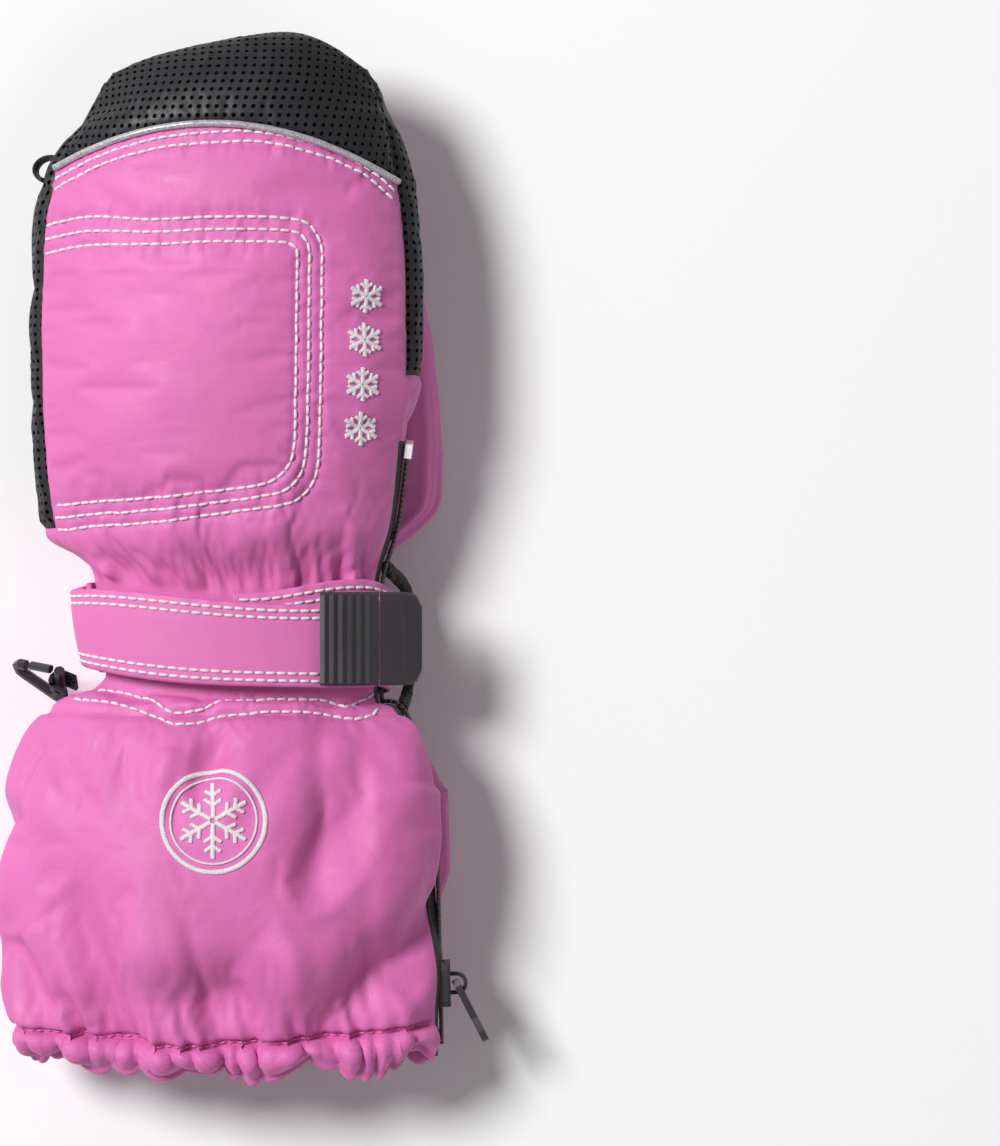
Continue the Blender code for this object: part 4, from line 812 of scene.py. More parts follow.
def ribbed_tape(name, colour, pitch=0.9, roughness=0.7):
    """Woven tape or braid: ribs across and fine yarns along."""
    look = Look(name, colour, roughness, Sheen_Weight=0.15, Sheen_Roughness=0.5)
    ribs = look.wave(look.cloth_place((0.31 / pitch, 0.31 / pitch, 1)), "Y")
    yarns = look.wave(look.cloth_place((0.9, 0.9, 1)), "X")
    weave = look.math("MULTIPLY", ribs, look.spread(yarns, 0.6, 1.0, 0, 1))
    fuzz = look.noise(look.solid_place(420.0), detail=4.0)
    look.join(look.shade(look.math("MULTIPLY", weave, fuzz), 0.8, 2.1), "Base Color")
    look.join(look.bump(weave, 0.16 * MM), "Normal")
    look.join(look.spread(fuzz, roughness - 0.1, roughness + 0.1), "Roughness")
    return look.made


def perforated_grip(name, colour, pitch=2.07):
    """Coated grip material: fine grain and a square grid of punched holes, painted dark inside as shade."""
    look = Look(name, colour, 0.5)
    place = look.cloth_place((1 / pitch, 1 / pitch, 1))
    dots = look.node("ShaderNodeTexVoronoi", {"Vector": place, "Scale": 1.0, "Randomness": 0.0},
                     voronoi_dimensions="2D").outputs["Distance"]
    hole_and_painted_shade = look.spread(dots, 0.0, 1.0, 0.17, 0.27)
    grain = look.noise(look.solid_place(900.0), detail=4.0, rough=0.65)
    wear = look.noise(look.solid_place(45.0), detail=3.0)
    # The holes are painted darker than the coating as shade; the wear noise varies the coating's tone at
    # random.
    shade = look.math("MULTIPLY", hole_and_painted_shade, look.spread(wear, 0.75, 1.0))
    look.join(look.shade(shade, 0.16, 1.25), "Base Color")
    look.join(look.math("ADD", look.spread(grain, 0.40, 0.58), look.spread(wear, -0.05, 0.07)), "Roughness")
    look.join(look.math("MULTIPLY", hole_and_painted_shade, 0.4), "Specular IOR Level")
    first = look.bump(hole_and_painted_shade, 0.3 * MM)
    look.join(look.bump(grain, 0.05 * MM, under=first), "Normal")
    return look.made


def moulded(name, colour, roughness=0.38, grain_size=700.0, depth=0.03):
    """Moulded plastic with a fine spark texture, and a painted highlight that makes its sharp edges paler."""
    look = Look(name, colour, roughness, Specular_IOR_Level=0.5)
    grain = look.noise(look.solid_place(grain_size), detail=3.0, rough=0.6)
    patches = look.noise(look.solid_place(60.0), detail=2.0)
    edge = look.node("ShaderNodeNewGeometry").outputs["Pointiness"]
    # Painted highlight: the sharpest edges are made paler.
    edge_highlight = look.spread(edge, 0.0, 1.0, 0.5, 0.6)
    look.join(look.shade(look.mixed(patches, edge_highlight, 0.6), 0.85, 1.9), "Base Color")
    look.join(look.spread(patches, roughness - 0.06, roughness + 0.1), "Roughness")
    look.join(look.bump(grain, depth * MM), "Normal")
    return look.made


def thread(name, colour):
    """Sewing thread: a soft sheen and a twist too fine to count."""
    look = Look(name, colour, 0.45, Sheen_Weight=0.3, Sheen_Roughness=0.3)
    twist = look.noise(look.solid_place(1500.0), detail=2.0)
    look.join(look.shade(look.spread(twist, 0, 1), 0.88, 1.04), "Base Color")
    look.join(look.bump(twist, 0.05 * MM), "Normal")
    return look.made


def glass_beads(name, colour):
    """Reflective piping: a grey coating of fine glass beads."""
    look = Look(name, colour, 0.35, Metallic=0.35)
    cells = look.node("ShaderNodeTexVoronoi", {"Vector": look.solid_place(3600.0), "Scale": 1.0})
    sparkle = look.node("ShaderNodeSeparateColor", {"Color": cells.outputs["Color"]}).outputs[0]
    scuffs = look.noise(look.solid_place(120.0), detail=3.0)
    look.join(look.shade(look.math("MULTIPLY", sparkle, scuffs), 0.75, 1.5), "Base Color")
    look.join(look.spread(sparkle, 0.2, 0.6, 0, 1), "Roughness")
    look.join(look.bump(sparkle, 0.03 * MM), "Normal")
    return look.made


def brushed_pile(name, colour):
    """Lining and loop tape: a soft pile."""
    look = Look(name, colour, 0.9, Sheen_Weight=0.4, Sheen_Roughness=0.6)
    fuzz = look.noise(look.solid_place(700.0), detail=6.0, rough=0.7)
    tufts = look.noise(look.solid_place(160.0), detail=3.0)
    look.join(look.shade(look.math("MULTIPLY", fuzz, tufts), 0.6, 2.2), "Base Color")
    look.join(look.bump(fuzz, 0.25 * MM), "Normal")
    return look.made


LOOKS = {
    "shell": shell_fabric("pink_shell_fabric", (0.70, 0.160, 0.445)),
    "cuff": shell_fabric("pink_cuff_fabric", (0.68, 0.150, 0.43), crinkle=0.06),
    "strap": shell_fabric("pink_strap_fabric", (0.71, 0.170, 0.455), crinkle=0.03),
    "grip": perforated_grip("black_grip_coating", (0.014, 0.0125, 0.0155)),
    "plastic": moulded("black_plastic_satin", (0.022, 0.020, 0.023)),
    "tab": moulded("black_tab_moulding", (0.026, 0.023, 0.026), 0.45, 420.0, 0.05),
    "webbing": ribbed_tape("black_webbing_weave", (0.014, 0.013, 0.015)),
    "tape": ribbed_tape("black_zip_tape", (0.016, 0.015, 0.017), 0.6),
    "coil": moulded("black_zip_coil", (0.018, 0.017, 0.019), 0.3, 900.0, 0.01),
    "thread": thread("white_thread", (0.80, 0.74, 0.78)),
    "pink_thread": thread("pink_thread", (0.66, 0.17, 0.43)),
    "black_thread": thread("black_thread", (0.02, 0.019, 0.021)),
    "reflective": glass_beads("reflective_beads", (0.52, 0.49, 0.53)),
    "stop": moulded("white_moulding_satin", (0.78, 0.78, 0.78), 0.35, 300.0, 0.02),
    "lining": brushed_pile("charcoal_lining_pile", (0.045, 0.043, 0.048)),
    "pile": brushed_pile("black_loop_pile", (0.02, 0.02, 0.022)),
    "wadding": brushed_pile("white_wadding", (0.80, 0.80, 0.78)),
    "elastic": ribbed_tape("white_elastic", (0.66, 0.66, 0.66)),
}


# ---- Making pieces ----
OFF_FLOOR = 0.03  # nothing sinks into what the mitten lies on


def piece(name, points, faces, look, body="mitten", replaces=(), slot=None, flat=None, smooth=True,
          weld=0.0):
    """A mesh from points in millimetres that rides on a body.  flat gives each corner's cloth place."""
    points = np.array(points, float)
    points[:, 2] = np.maximum(points[:, 2], OFF_FLOOR)
    mesh = bpy.data.meshes.new(name)
    mesh.from_pydata((points * MM).tolist(), [], [list(map(int, face)) for face in faces])
    if flat is not None:
        layer = mesh.uv_layers.new(name=MAP)
        layer.data.foreach_set("uv", np.asarray(flat, np.float32).reshape(-1))
    if weld:
        work = bmesh.new()
        work.from_mesh(mesh)
        bmesh.ops.remove_doubles(work, verts=work.verts, dist=weld * MM)
        work.to_mesh(mesh)
        work.free()
    if smooth:
        mesh.shade_smooth()
    mesh.materials.append(LOOKS[look])
    obj = bpy.data.objects.new(name, mesh)
    bpy.context.scene.collection.objects.link(obj)
    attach(obj, body)
    if replaces:
        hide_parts(*replaces)
    return obj


def corner_values(values, faces):
    """Per-corner cloth places from per-point ones."""
    return np.concatenate([values[np.array(face)] for face in faces])


def closed_tube(rings, count):
    """Faces round a tube of rings and over both its ends."""
    last = (rings - 1) * count
    return grid_quads(rings, count, closed=True).tolist() + [list(range(count))[::-1],
                                                             list(range(last, last + count))]


def fine_row(value):
    return int(np.argmin(np.abs(FINE_ROWS - value)))


def fine_column(value):
    return int(np.argmin(np.abs(np.append(FINE_COLUMNS, ROUND) - value)))


def flat_cloth():
    """Where each grid point lies on the flat cloth, once for each of the four faces of the mitten."""
    closed = np.concatenate([SKIN, SKIN[:, :1]], 1)
    round_run = np.stack([run_of(ring) for ring in closed])
    maps = []
    for first, last in SIDES:
        k = fine_column((first + last) / 2)
        long_run = run_of(closed[:, k])
        across = round_run - round_run[:, k:k + 1]
        if first in (0, PALM_START):
            extra = long_run - (closed[:, k, 1] - closed[0, k, 1])
            along = closed[..., 1] + extra[:, None]
        else:
            along = np.repeat(long_run[:, None], closed.shape[1], 1)
        maps.append(np.stack([across, along], -1))
    return maps


CLOTH = flat_cloth()


def panel_quads(ranges):
    """Quads of the shown grid in ranges of (row, row, column, column), with their cloth places."""
    count = SKIN.shape[1]
    quads, flat = [], []
    for low, high, left, right in ranges:
        for cloth, (start, end) in zip(CLOTH, SIDES):
            first, last = fine_column(max(start, left)), fine_column(min(end, right))
            if last <= first:
                continue
            rows = np.arange(fine_row(low), fine_row(high))
            r, c = np.meshgrid(rows, np.arange(first, last), indexing="ij")
            r, c = r.reshape(-1), c.reshape(-1)
            corners = ((r, c), (r, c + 1), (r + 1, c + 1), (r + 1, c))
            quads.append(np.stack([i * count + j % count for i, j in corners], -1))
            flat.append(np.stack([cloth[i, j] for i, j in corners], 1))
    return np.concatenate(quads), np.concatenate(flat)


def cut_panel(name, ranges, look, *nodes, slot=None, extra=None):
    quads, flat = panel_quads(ranges)
    used, index = np.unique(quads, return_inverse=True)
    points, quads = SKIN.reshape(-1, 3)[used], index.reshape(-1, 4)
    weld = 0.0
    if extra:
        more, more_quads, more_flat = extra
        quads = np.concatenate([quads, more_quads + len(points)])
        points = np.concatenate([points, more])
        flat = np.concatenate([flat, more_flat])
        weld = 0.03
    return piece(name, points, quads, look, replaces=nodes, slot=slot, flat=flat, weld=weld)


TIP_REACH, TIP_BULGE = 3.0, 0.8  # of the gusset past the cap and the palm
TIP_ENDS = 6  # points over which it narrows to the side seams


def tip_patch():
    """The gusset's blunt end across the fingertips, between the cap and the palm."""
    last = len(SKIN) - 1
    top = SKIN[last, fine_column(0):fine_column(BACK_END) + 1]
    palm = SKIN[last, fine_column(PALM_START):fine_column(PALM_END) + 1][::-1]
    share = np.linspace(0, 1, len(top))
    middle = (top + palm) / 2
    middle[:, 1] += TIP_REACH * np.sqrt(np.maximum(np.sin(np.pi * share), 0))
    middle[0] = SKIN[last, fine_column(LEFT_LINE)]
    middle[-1] = SKIN[last, fine_column(ZIP_LINE)]
    for side in (slice(0, TIP_ENDS + 1), slice(-TIP_ENDS - 1, None)):
        part = middle[side]
        middle[side] = mix(part[0], part[-1], np.linspace(0, 1, TIP_ENDS + 1)[:, None])
    across = np.linspace(0, 1, 2 * SIDE_COLUMNS + 1)
    grid = arc3(top[:, None], middle[:, None], palm[:, None], np.repeat(across[None], len(top), 0))
    bulge = np.sin(np.pi * across)[None, :, None] * np.sin(np.pi * share)[:, None, None] ** 0.5
    grid = grid + bulge * np.array((0, TIP_BULGE, 0))
    wide = np.linalg.norm(top - palm, axis=1).mean()
    flat = np.stack(np.meshgrid(run_of(middle), across * wide, indexing="ij"), -1)[..., ::-1].reshape(-1, 2)
    quads = grid_quads(len(top), len(across))[:, ::-1]
    return grid.reshape(-1, 3), quads, corner_values(flat, quads).reshape(-1, 4, 2)


def build_panels():
    back = [(CUFF_SEAM, PIPING, 0, BACK_END), (CUFF_SEAM, GATHER, LEFT_LINE, ROUND),
            (ZIP_TOP, GUSSET_POINT, BACK_END, PALM_START)]
    hand = cut_panel("padded_back", back, "shell", "back_panel", "hand_wadding", slot="pink_shell")
    cap = cut_panel("padded_cap", [(PIPING, TIP, 0, BACK_END)], "grip", "fingertip_cap", slot="black_grip")
    gusset = [(GATHER, TIP, PALM_END, ROUND), (GUSSET_POINT, TIP, BACK_END, PALM_START)]
    side = cut_panel("padded_gusset", gusset, "grip", "side_gusset", slot="black_grip", extra=tip_patch())
    palm = cut_panel("padded_palm", [(GATHER, TIP, PALM_START, PALM_END)], "grip", "palm_panel",
                     slot="black_grip")
    cut_panel("wrist_palm_fabric", [(CUFF_SEAM, GATHER, PALM_START, LEFT_LINE)], "shell",
              "wrist_palm_panel", "wrist_elastic", slot="pink_shell")
    cut_panel("cuff_back_fabric", [(HEM_TOP, CUFF_SEAM, 0, BACK_END), (HEM_TOP, CUFF_SEAM, LEFT_LINE, ROUND)],
              "cuff", "cuff_back_panel", slot="pink_cuff")
    cut_panel("cuff_palm_fabric", [(HEM_TOP, CUFF_SEAM, PALM_START, LEFT_LINE)], "cuff",
              "cuff_palm_panel", slot="pink_cuff")
    cut_panel("zip_tape_back_weave", [(HEM, ZIP_TOP, BACK_END, ZIP_LINE)], "tape", "zip_tape_back",
              slot="black_webbing")
    cut_panel("zip_tape_palm_weave", [(HEM, ZIP_TOP, ZIP_LINE, PALM_START)], "tape", "zip_tape_palm",
              slot="black_webbing")


build_panels()


# ---- Hem and linings ----
HEM_TURN = 14.0  # how far the hem is folded inside
HEM_FULL = 2.0  # how far the elastic's tunnel stands proud
HEM_LOBES = 25
HEM_ROLL, ROLL_STEPS, TURN_STEPS = 1.4, 8, 7  # radius of its rounded mouth, and its rings


def build_hem():
    """The elastic tunnel: rounded, gathered, turned in at the mouth."""
    first, last = fine_column(PALM_START), fine_column(BACK_END) + SKIN.shape[1]
    columns = np.arange(first, last + 1) % SKIN.shape[1]
    top, low = fine_row(HEM_TOP), 0
    share = np.linspace(0, 1, len(columns))
    lobes = np.abs(np.sin(np.pi * (HEM_LOBES * share + 0.45 * ripples(share * 0.95, 6, 79)))) ** 0.6
    drop = 1.2 * ripples(share * 0.95, 8, 83)
    taper = np.clip(np.minimum(share, 1 - share) / 0.015, 0, 1)
    rings = []
    for i in range(top, low - 1, -1):
        t = (top - i) / (top - low)
        full = math.sin(math.pi * t**0.8)
        out = HEM_FULL * full * (1 - taper + taper * (0.35 + lobes))
        ring = SKIN[i, columns] + SKIN_NORMALS[i, columns] * out[:, None]
        ring[:, 1] += (drop + 1.8 - 2.4 * (lobes - 0.75)) * taper * t
        rings.append(ring)
    mouth = rings[-1]
    inward = unit(-SKIN_NORMALS[0, columns] * np.array((1, 0, 1)))
    for k in range(1, ROLL_STEPS + 1):
        turn = math.pi * k / ROLL_STEPS
        rolled = np.array((0, -HEM_ROLL * math.sin(turn), 0))
        rings.append(mouth + inward * HEM_ROLL * (1 - math.cos(turn)) + rolled)
    for _ in range(TURN_STEPS):
        rings.append(rings[-1] + np.array((0, HEM_TURN / TURN_STEPS, 0)) + inward * 0.05)
    points = np.stack(rings)
    quads = grid_quads(len(rings), len(columns))[:, ::-1]
    down = np.arange(len(rings)) * 0.8
    flat = np.stack(np.meshgrid(run_of(points[0]), down), -1).reshape(-1, 2)
    piece("gathered_hem", points.reshape(-1, 3), quads, "cuff", replaces=("cuff_hem", "hem_elastic"),
          slot="pink_cuff", flat=corner_values(flat, quads))


LINING_GAP = 1.4  # between the deepest folds of the shell and the lining
SPREAD_ROUNDS, SMOOTH_ROUNDS = 5, 12


def build_lining(name, first, last, depth, tip, *nodes):
    """The lining follows the shell inside, its folds flattened by the wadding; a tip closes it."""
    base = doubled(BASE)
    normals = normals_of(base)
    sunk = -((SKIN - base) * normals).sum(-1)
    for _ in range(SPREAD_ROUNDS):
        sunk = np.maximum(sunk, np.maximum(np.roll(sunk, 1, 1), np.roll(sunk, -1, 1)))
        sunk[1:-1] = np.maximum(sunk[1:-1], np.maximum(sunk[:-2], sunk[2:]))
    for _ in range(SMOOTH_ROUNDS):
        sunk = (np.roll(sunk, 1, 1) + 2 * sunk + np.roll(sunk, -1, 1)) / 4
        sunk[1:-1] = (sunk[:-2] + 2 * sunk[1:-1] + sunk[2:]) / 4
    rows = range(fine_row(first), fine_row(last) + 1, 2)
    rings = [base[i] - normals[i] * np.maximum(depth, sunk[i] + LINING_GAP)[:, None] for i in rows]
    if tip:
        ring = rings[-1]
        middle = np.polyval(np.polyfit(ring[:, 0], ring[:, 2], 1), ring[:, 0])
        for share in (0.25, 0.5, 0.75, 0.97):
            rings.append(np.stack([ring[:, 0], ring[:, 1] - share, mix(ring[:, 2], middle, share)], -1))
    points = np.stack(rings)
    points[..., 2] = np.maximum(points[..., 2], depth * 0.6)
    quads = grid_quads(len(rings), points.shape[1], closed=True)
    piece(name, points.reshape(-1, 3), quads, "lining", replaces=nodes, slot="lining")


build_hem()
build_lining("cuff_lining_fabric", HEM_TOP + 0.1, GATHER, 2.6, False, "cuff_lining")
build_lining("hand_lining_fleece", STRAP_HIGH, TIP - 0.7, 4.0, True, "hand_lining")


# ---- The thumb ----
THUMB_ROUND, THUMB_PINK_FROM, THUMB_PINK_TO = 96, -17, 42  # points round it, and the pink part's edges
THUMB_STRAIGHT, THUMB_BEND = 66, 18  # rows along it and round its tip
THUMB_STEP = 1.3  # millimetres from point to point round it
THUMB_DENTS, THUMB_GROOVE, THUMB_PUCKER = 0.7, 1.1, 0.25


def thumb_loop(y, count=THUMB_ROUND):
    inner, outer = thumb_edges(y)
    root = ease(y, THUMB_ROOT, ROOT_END)
    closing = max(0.0, y - (THUMB_REACH - ROUND_FROM)) / ROUND_FROM
    tip = math.sqrt(max(0.0, 1 - min(closing, 1.0) ** 2))
    half_width = mix(ROOT_WIDE, 1, root) * tip * (outer - inner) / 2
    half_height = mix(ROOT_HALF_HEIGHT, THUMB_THICKNESS / 2, root) * tip**0.8
    centre = (mix(ROOT_CENTRE[0], (inner + outer) / 2, root), mix(ROOT_CENTRE[1], THUMB_THICKNESS / 2, root))
    angle = -2 * math.pi * np.arange(count) / count
    across, up = np.cos(angle), np.sin(angle)
    x = centre[0] + half_width * np.copysign(np.abs(across) ** OVAL, across)
    z = centre[1] + half_height * np.copysign(np.abs(up) ** OVAL, up)
    return np.stack([x, np.full(count, float(y)), np.maximum(z, 0)], -1) + SETTLE


def build_thumb():
    straight = np.linspace(THUMB_ROOT, THUMB_REACH - ROUND_FROM, THUMB_STRAIGHT)
    bend = THUMB_REACH - ROUND_FROM + ROUND_FROM * np.sin(np.linspace(0, math.pi / 2, THUMB_BEND))[1:]
    rows = np.concatenate([straight, bend])
    grid = np.stack([thumb_loop(y) for y in rows])
    grid[-1] = grid[-2].mean(0) * np.array((1, 0, 1)) + np.array((0, THUMB_REACH + SETTLE[1], 0))
    grid = smoothed(grid, 4)
    out = normals_of(grid)
    out[-1] = (0, 1, 0)
    columns = np.arange(THUMB_ROUND)
    share = np.repeat(columns[None] / THUMB_ROUND, len(rows), 0)
    root = np.repeat(np.maximum(0, rows - 4)[:, None], THUMB_ROUND, 1)
    uneven = THUMB_DENTS * dents(grid, 17, 7, 0.4) + gathers(share, root, THUMB_GATHERS, 91)
    for seam in (THUMB_PINK_FROM % THUMB_ROUND, THUMB_PINK_TO):
        away = np.abs((columns - seam + THUMB_ROUND / 2) % THUMB_ROUND - THUMB_ROUND / 2)[None] * THUMB_STEP
        wave = ripples((rows[:, None] + 30) / 160, 34, 97 + seam)
        uneven += THUMB_PUCKER * wave * np.exp(-((away / 4.0) ** 2))
        uneven -= THUMB_GROOVE * np.exp(-((away / 1.6) ** 2))
    calm = ease(THUMB_REACH - rows, 0.5, 9)[:, None]
    grid = grid + out * (uneven * calm)[..., None]
    grid[..., 2] = np.maximum(grid[..., 2], OFF_FLOOR)
    long_run = run_of(grid[:, 20])
    for name, first, last, look, slot, nodes in (
            ("padded_thumb_pink", THUMB_PINK_FROM, THUMB_PINK_TO, "shell", "pink_shell",
             ("thumb_back_panel", "thumb_wadding", "thumb_lining")),
            ("padded_thumb_grip", THUMB_PINK_TO, THUMB_PINK_FROM + THUMB_ROUND, "grip", "black_grip",
             ("thumb_palm_panel",))):
        picked = np.arange(first, last + 1) % THUMB_ROUND
        part = grid[:, picked]
        run = np.stack([run_of(ring) for ring in part])
        run = run - run[:, run.shape[1] // 2][:, None]
        flat = np.stack([run, np.repeat(long_run[:, None], run.shape[1], 1)], -1).reshape(-1, 2)
        quads = grid_quads(len(rows), len(picked))
        made = piece(name, part.reshape(-1, 3), quads, look, replaces=nodes, slot=slot,
                     flat=corner_values(flat, quads), weld=0.02)
    return grid, normals_of(grid), rows


THUMB, THUMB_NORMALS, THUMB_ROWS = build_thumb()


# ---- Stitches ----
STITCH_PITCH, STITCH_LENGTH, THREAD = 2.5, 2.35, 0.36
THUMB_INSETS = (2.6, 4.9)  # of the thumb's two rows from its outer edge


def capsule(sides=8):
    """A stitch one long and one in radius, sunk at both ends: rings along x."""
    half = ((-0.5, 0.15, -0.9), (-0.42, 0.75, -0.35), (-0.2, 1.0, 0.0))  # place, radius, height
    profile = half + tuple((-x, r, h) for x, r, h in reversed(half))
    points = [(x, r * math.cos(2 * math.pi * k / sides), h + r * math.sin(2 * math.pi * k / sides))
              for x, r, h in profile for k in range(sides)]
    return np.array(points), grid_quads(len(profile), sides, closed=True)[:, ::-1]


def laid(centres, along, out, lengths, radius, lift=0.6):
    """Stitches at centres, each along its direction and standing out of the cloth."""
    template, faces = capsule()
    along = unit(along)
    out = unit(out - along * (out * along).sum(1, keepdims=True))
    side = np.cross(out, along)
    lengths = np.broadcast_to(lengths, len(centres))
    points = (centres[:, None] + along[:, None] * (template[None, :, :1] * lengths[:, None, None])
              + side[:, None] * (template[None, :, 1:2] * radius)
              + out[:, None] * ((template[None, :, 2:] + lift) * radius))
    index = np.arange(len(centres))[:, None, None] * len(template)
    return points.reshape(-1, 3), (faces[None] + index).reshape(-1, 4)


def stitched(line, out, pitch=STITCH_PITCH, length=STITCH_LENGTH, radius=THREAD):
    """Stitches along a line of points with their outward directions."""
    run = run_of(line)
    at = np.arange(pitch / 2, run[-1] - pitch / 3, pitch)
    start, end = read_at(at - length / 2, run, line), read_at(at + length / 2, run, line)
    return laid((start + end) / 2, end - start, read_at(at, run, out), length, radius)


def together(parts):
    """Several pieces' points and faces as one piece's."""
    starts = np.cumsum([0] + [len(points) for points, _ in parts])
    return (np.concatenate([points for points, _ in parts]),
            np.concatenate([faces + start for (_, faces), start in zip(parts, starts)]))


def on_skin(rows, columns):
    """Places and outward directions on the shown surface."""
    return sampled(SKIN, 2 * rows, 2 * columns), sampled(SKIN_NORMALS, 2 * rows, 2 * columns)


def thumb_line(inset):
    """A row of stitches on the thumb's palm side, an inset in from its outer edge."""
    line, out = [], []
    for i, y in enumerate(THUMB_ROWS):
        if 6 < y < THUMB_REACH - 2.5:
            x = THUMB[i, :, 0]
            k = int(np.argmin(np.abs(x[:THUMB_ROUND // 2] - (x.max() - inset))))
            line.append(THUMB[i, k])
            out.append(THUMB_NORMALS[i, k])
    return evened(line, 6), np.array(out)


def build_stitching():
    white = [stitched(*on_skin(*row)) for row in BACK_ROWS + PALM_ROWS]
    white += [stitched(*on_skin(*row), pitch=2.0, length=1.7, radius=0.27) for row in ZIGZAG]
    white += [stitched(*thumb_line(inset)) for inset in THUMB_INSETS]
    piece("white_topstitching", *together(white), "thread")
    hem = [stitched(*on_skin(*row), pitch=2.2, length=1.7, radius=0.26) for row in HEM_ROWS]
    piece("hem_topstitching", *together(hem), "pink_thread")


build_stitching()


# ---- Embroidery ----
SATIN_PITCH, SATIN_THREAD, SATIN_SLANT = 0.36, 0.24, 0.25


def satin(path, width):
    """A satin-stitched stroke: threads across a line drawn in the photograph's pixels."""
    line, out = on_skin(*located(curve([at_pixel(*p) for p in path], 0.5), 0, BACK_END))
    run = run_of(line)
    at = np.arange(0, run[-1] + SATIN_PITCH / 2, SATIN_PITCH)
    centre, normal = read_at(at, run, line), read_at(at, run, out)
    along = np.gradient(centre, axis=0)
    across = unit(np.cross(normal, along)) + unit(along) * SATIN_SLANT
    lengths = width * np.random.default_rng(len(at)).uniform(0.93, 1.07, len(at))
    return laid(centre + normal * 0.12, across, normal, lengths, SATIN_THREAD, 0.5)


def straight(start, end, count=4):
    return [mix(start, end, share) for share in np.linspace(0, 1, count)]


# Pixels of the photograph; the widths of the strokes are millimetres.
BADGE_CENTRE = np.array((218.0, 819.0))
BADGE_RINGS = ((50, 1.25), (42, 0.6))  # radius and width
BADGE_CRYSTAL, BADGE_TWIGS = 36, ((0.42, 0.26), (0.68, 0.24))
MOTIF_LINE, MOTIF_COUNT = (np.array((366.0, 300.0)), np.array((361.0, 430.0))), 4
MOTIF_CRYSTAL, MOTIF_TWIGS = 16, ((0.55, 0.36),)
ARMS, TWIG_LEAN = 6, math.pi / 3.2


def heading(turn):
    return np.array((math.cos(turn), math.sin(turn)))


def snow_crystal(centre, radius, width, twigs):
    """Strokes of a snow crystal; each twig has its place along the arm and its length."""
    strokes = []
    for arm in range(ARMS):
        turn = math.pi / 3 * arm + math.pi / 6
        way = heading(turn) * radius
        strokes.append((straight(centre + way * 0.1, centre + way), width))
        for share, long in twigs:
            root = centre + way * share
            for side in (-1, 1):
                twig = heading(turn + side * TWIG_LEAN) * radius * long
                strokes.append((straight(root, root + twig, 3), width * 0.85))
    return strokes


def build_embroidery():
    """A snow crystal in a round frame on the cuff, and a column of small ones on the hand."""
    strokes = []
    for radius, width in BADGE_RINGS:
        ring = [BADGE_CENTRE + heading(t - math.pi / 2) * radius for t in np.linspace(0, 2 * math.pi, 37)]
        strokes.append((ring, width))
    strokes += snow_crystal(BADGE_CENTRE, BADGE_CRYSTAL, 1.2, BADGE_TWIGS)
    for centre in straight(*MOTIF_LINE, MOTIF_COUNT):
        strokes += snow_crystal(centre, MOTIF_CRYSTAL, 1.15, MOTIF_TWIGS)
    piece("embroidery", *together([satin(*stroke) for stroke in strokes]), "thread")


build_embroidery()


# ---- The strap ----
STRAP_CORNER = 0.55  # the folded edges are rounded
STRAP_ROWS = 15
STRAP_ROW_SHARES = (0.075, 0.165, 0.835, 0.925)  # of the strap's width, for its rows of stitches
ROOT_START, TAB_START, PATCH = 28.0, 11.1, (8.3, 12.7)  # columns


def strap_loops():
    """The pattern's two loops that the strap's edges follow, taut, with their directions."""
    normals = normals_of(BASE)
    loops = []
    for value in (STRAP_LOW, STRAP_HIGH):
        i = int(round(float(row_at(value))))
        line = smoothed(BASE[i:i + 1], 30)[0]
        out = smoothed(normals[i:i + 1], 60)[0]
        loops.append((line, unit(out)))
    return loops


STRAP_LOOPS = strap_loops()


def strap_point(column, share, lift):
    """A place on the strap: along it by column, across it from its lower edge by share."""
    (low, low_out), (high, high_out) = STRAP_LOOPS
    at = np.atleast_1d(column_at(column))
    k = np.floor(at).astype(int) % len(COLUMNS)
    n = (k + 1) % len(COLUMNS)
    w = (at - np.floor(at))[:, None]
    a, b = mix(low[k], low[n], w), mix(high[k], high[n], w)
    out = unit(mix(mix(low_out[k], low_out[n], w), mix(high_out[k], high_out[n], w), share))
    return mix(a, b, share) + out * lift, out


def strap_section(thick_low, thick_high):
    """Shares and lifts round the strap's section, with rounded edges."""
    corner = STRAP_CORNER / STRAP_WIDTH
    shares = np.linspace(corner, 1 - corner, STRAP_ROWS)
    dimple = 0.12 * np.exp(-(((np.minimum(shares, 1 - shares) * STRAP_WIDTH - 3.0) / 1.6) ** 2))
    top = [(s, thick_high - d) for s, d in zip(shares, dimple)]
    low = [(s, thick_low) for s in shares[::-1]]
    edge = ((corner * 0.3, thick_low + 0.2), (0.0, (thick_low + thick_high) / 2),
            (corner * 0.3, thick_high - 0.25))
    return top + [(1 - share, lift) for share, lift in reversed(edge)] + low + list(edge)


def band_edges(columns):
    """The shares across the strap that the fixed band covers: it shows above the free end on the back."""
    on_back = 1 - ease(columns, BACK_END - 1, BACK_END + 2)
    return mix(0.02, 0.12, on_back), mix(0.98, 1.0 + 0.13 * ease(columns, 7.5, 12.5), on_back)


def end_edges(columns):
    """The free end narrows towards its tab."""
    narrow = ease(columns, ROUND + 2, ROUND + 10.5)
    return mix(0.03, 0.085, narrow), mix(0.97, 0.915, narrow)


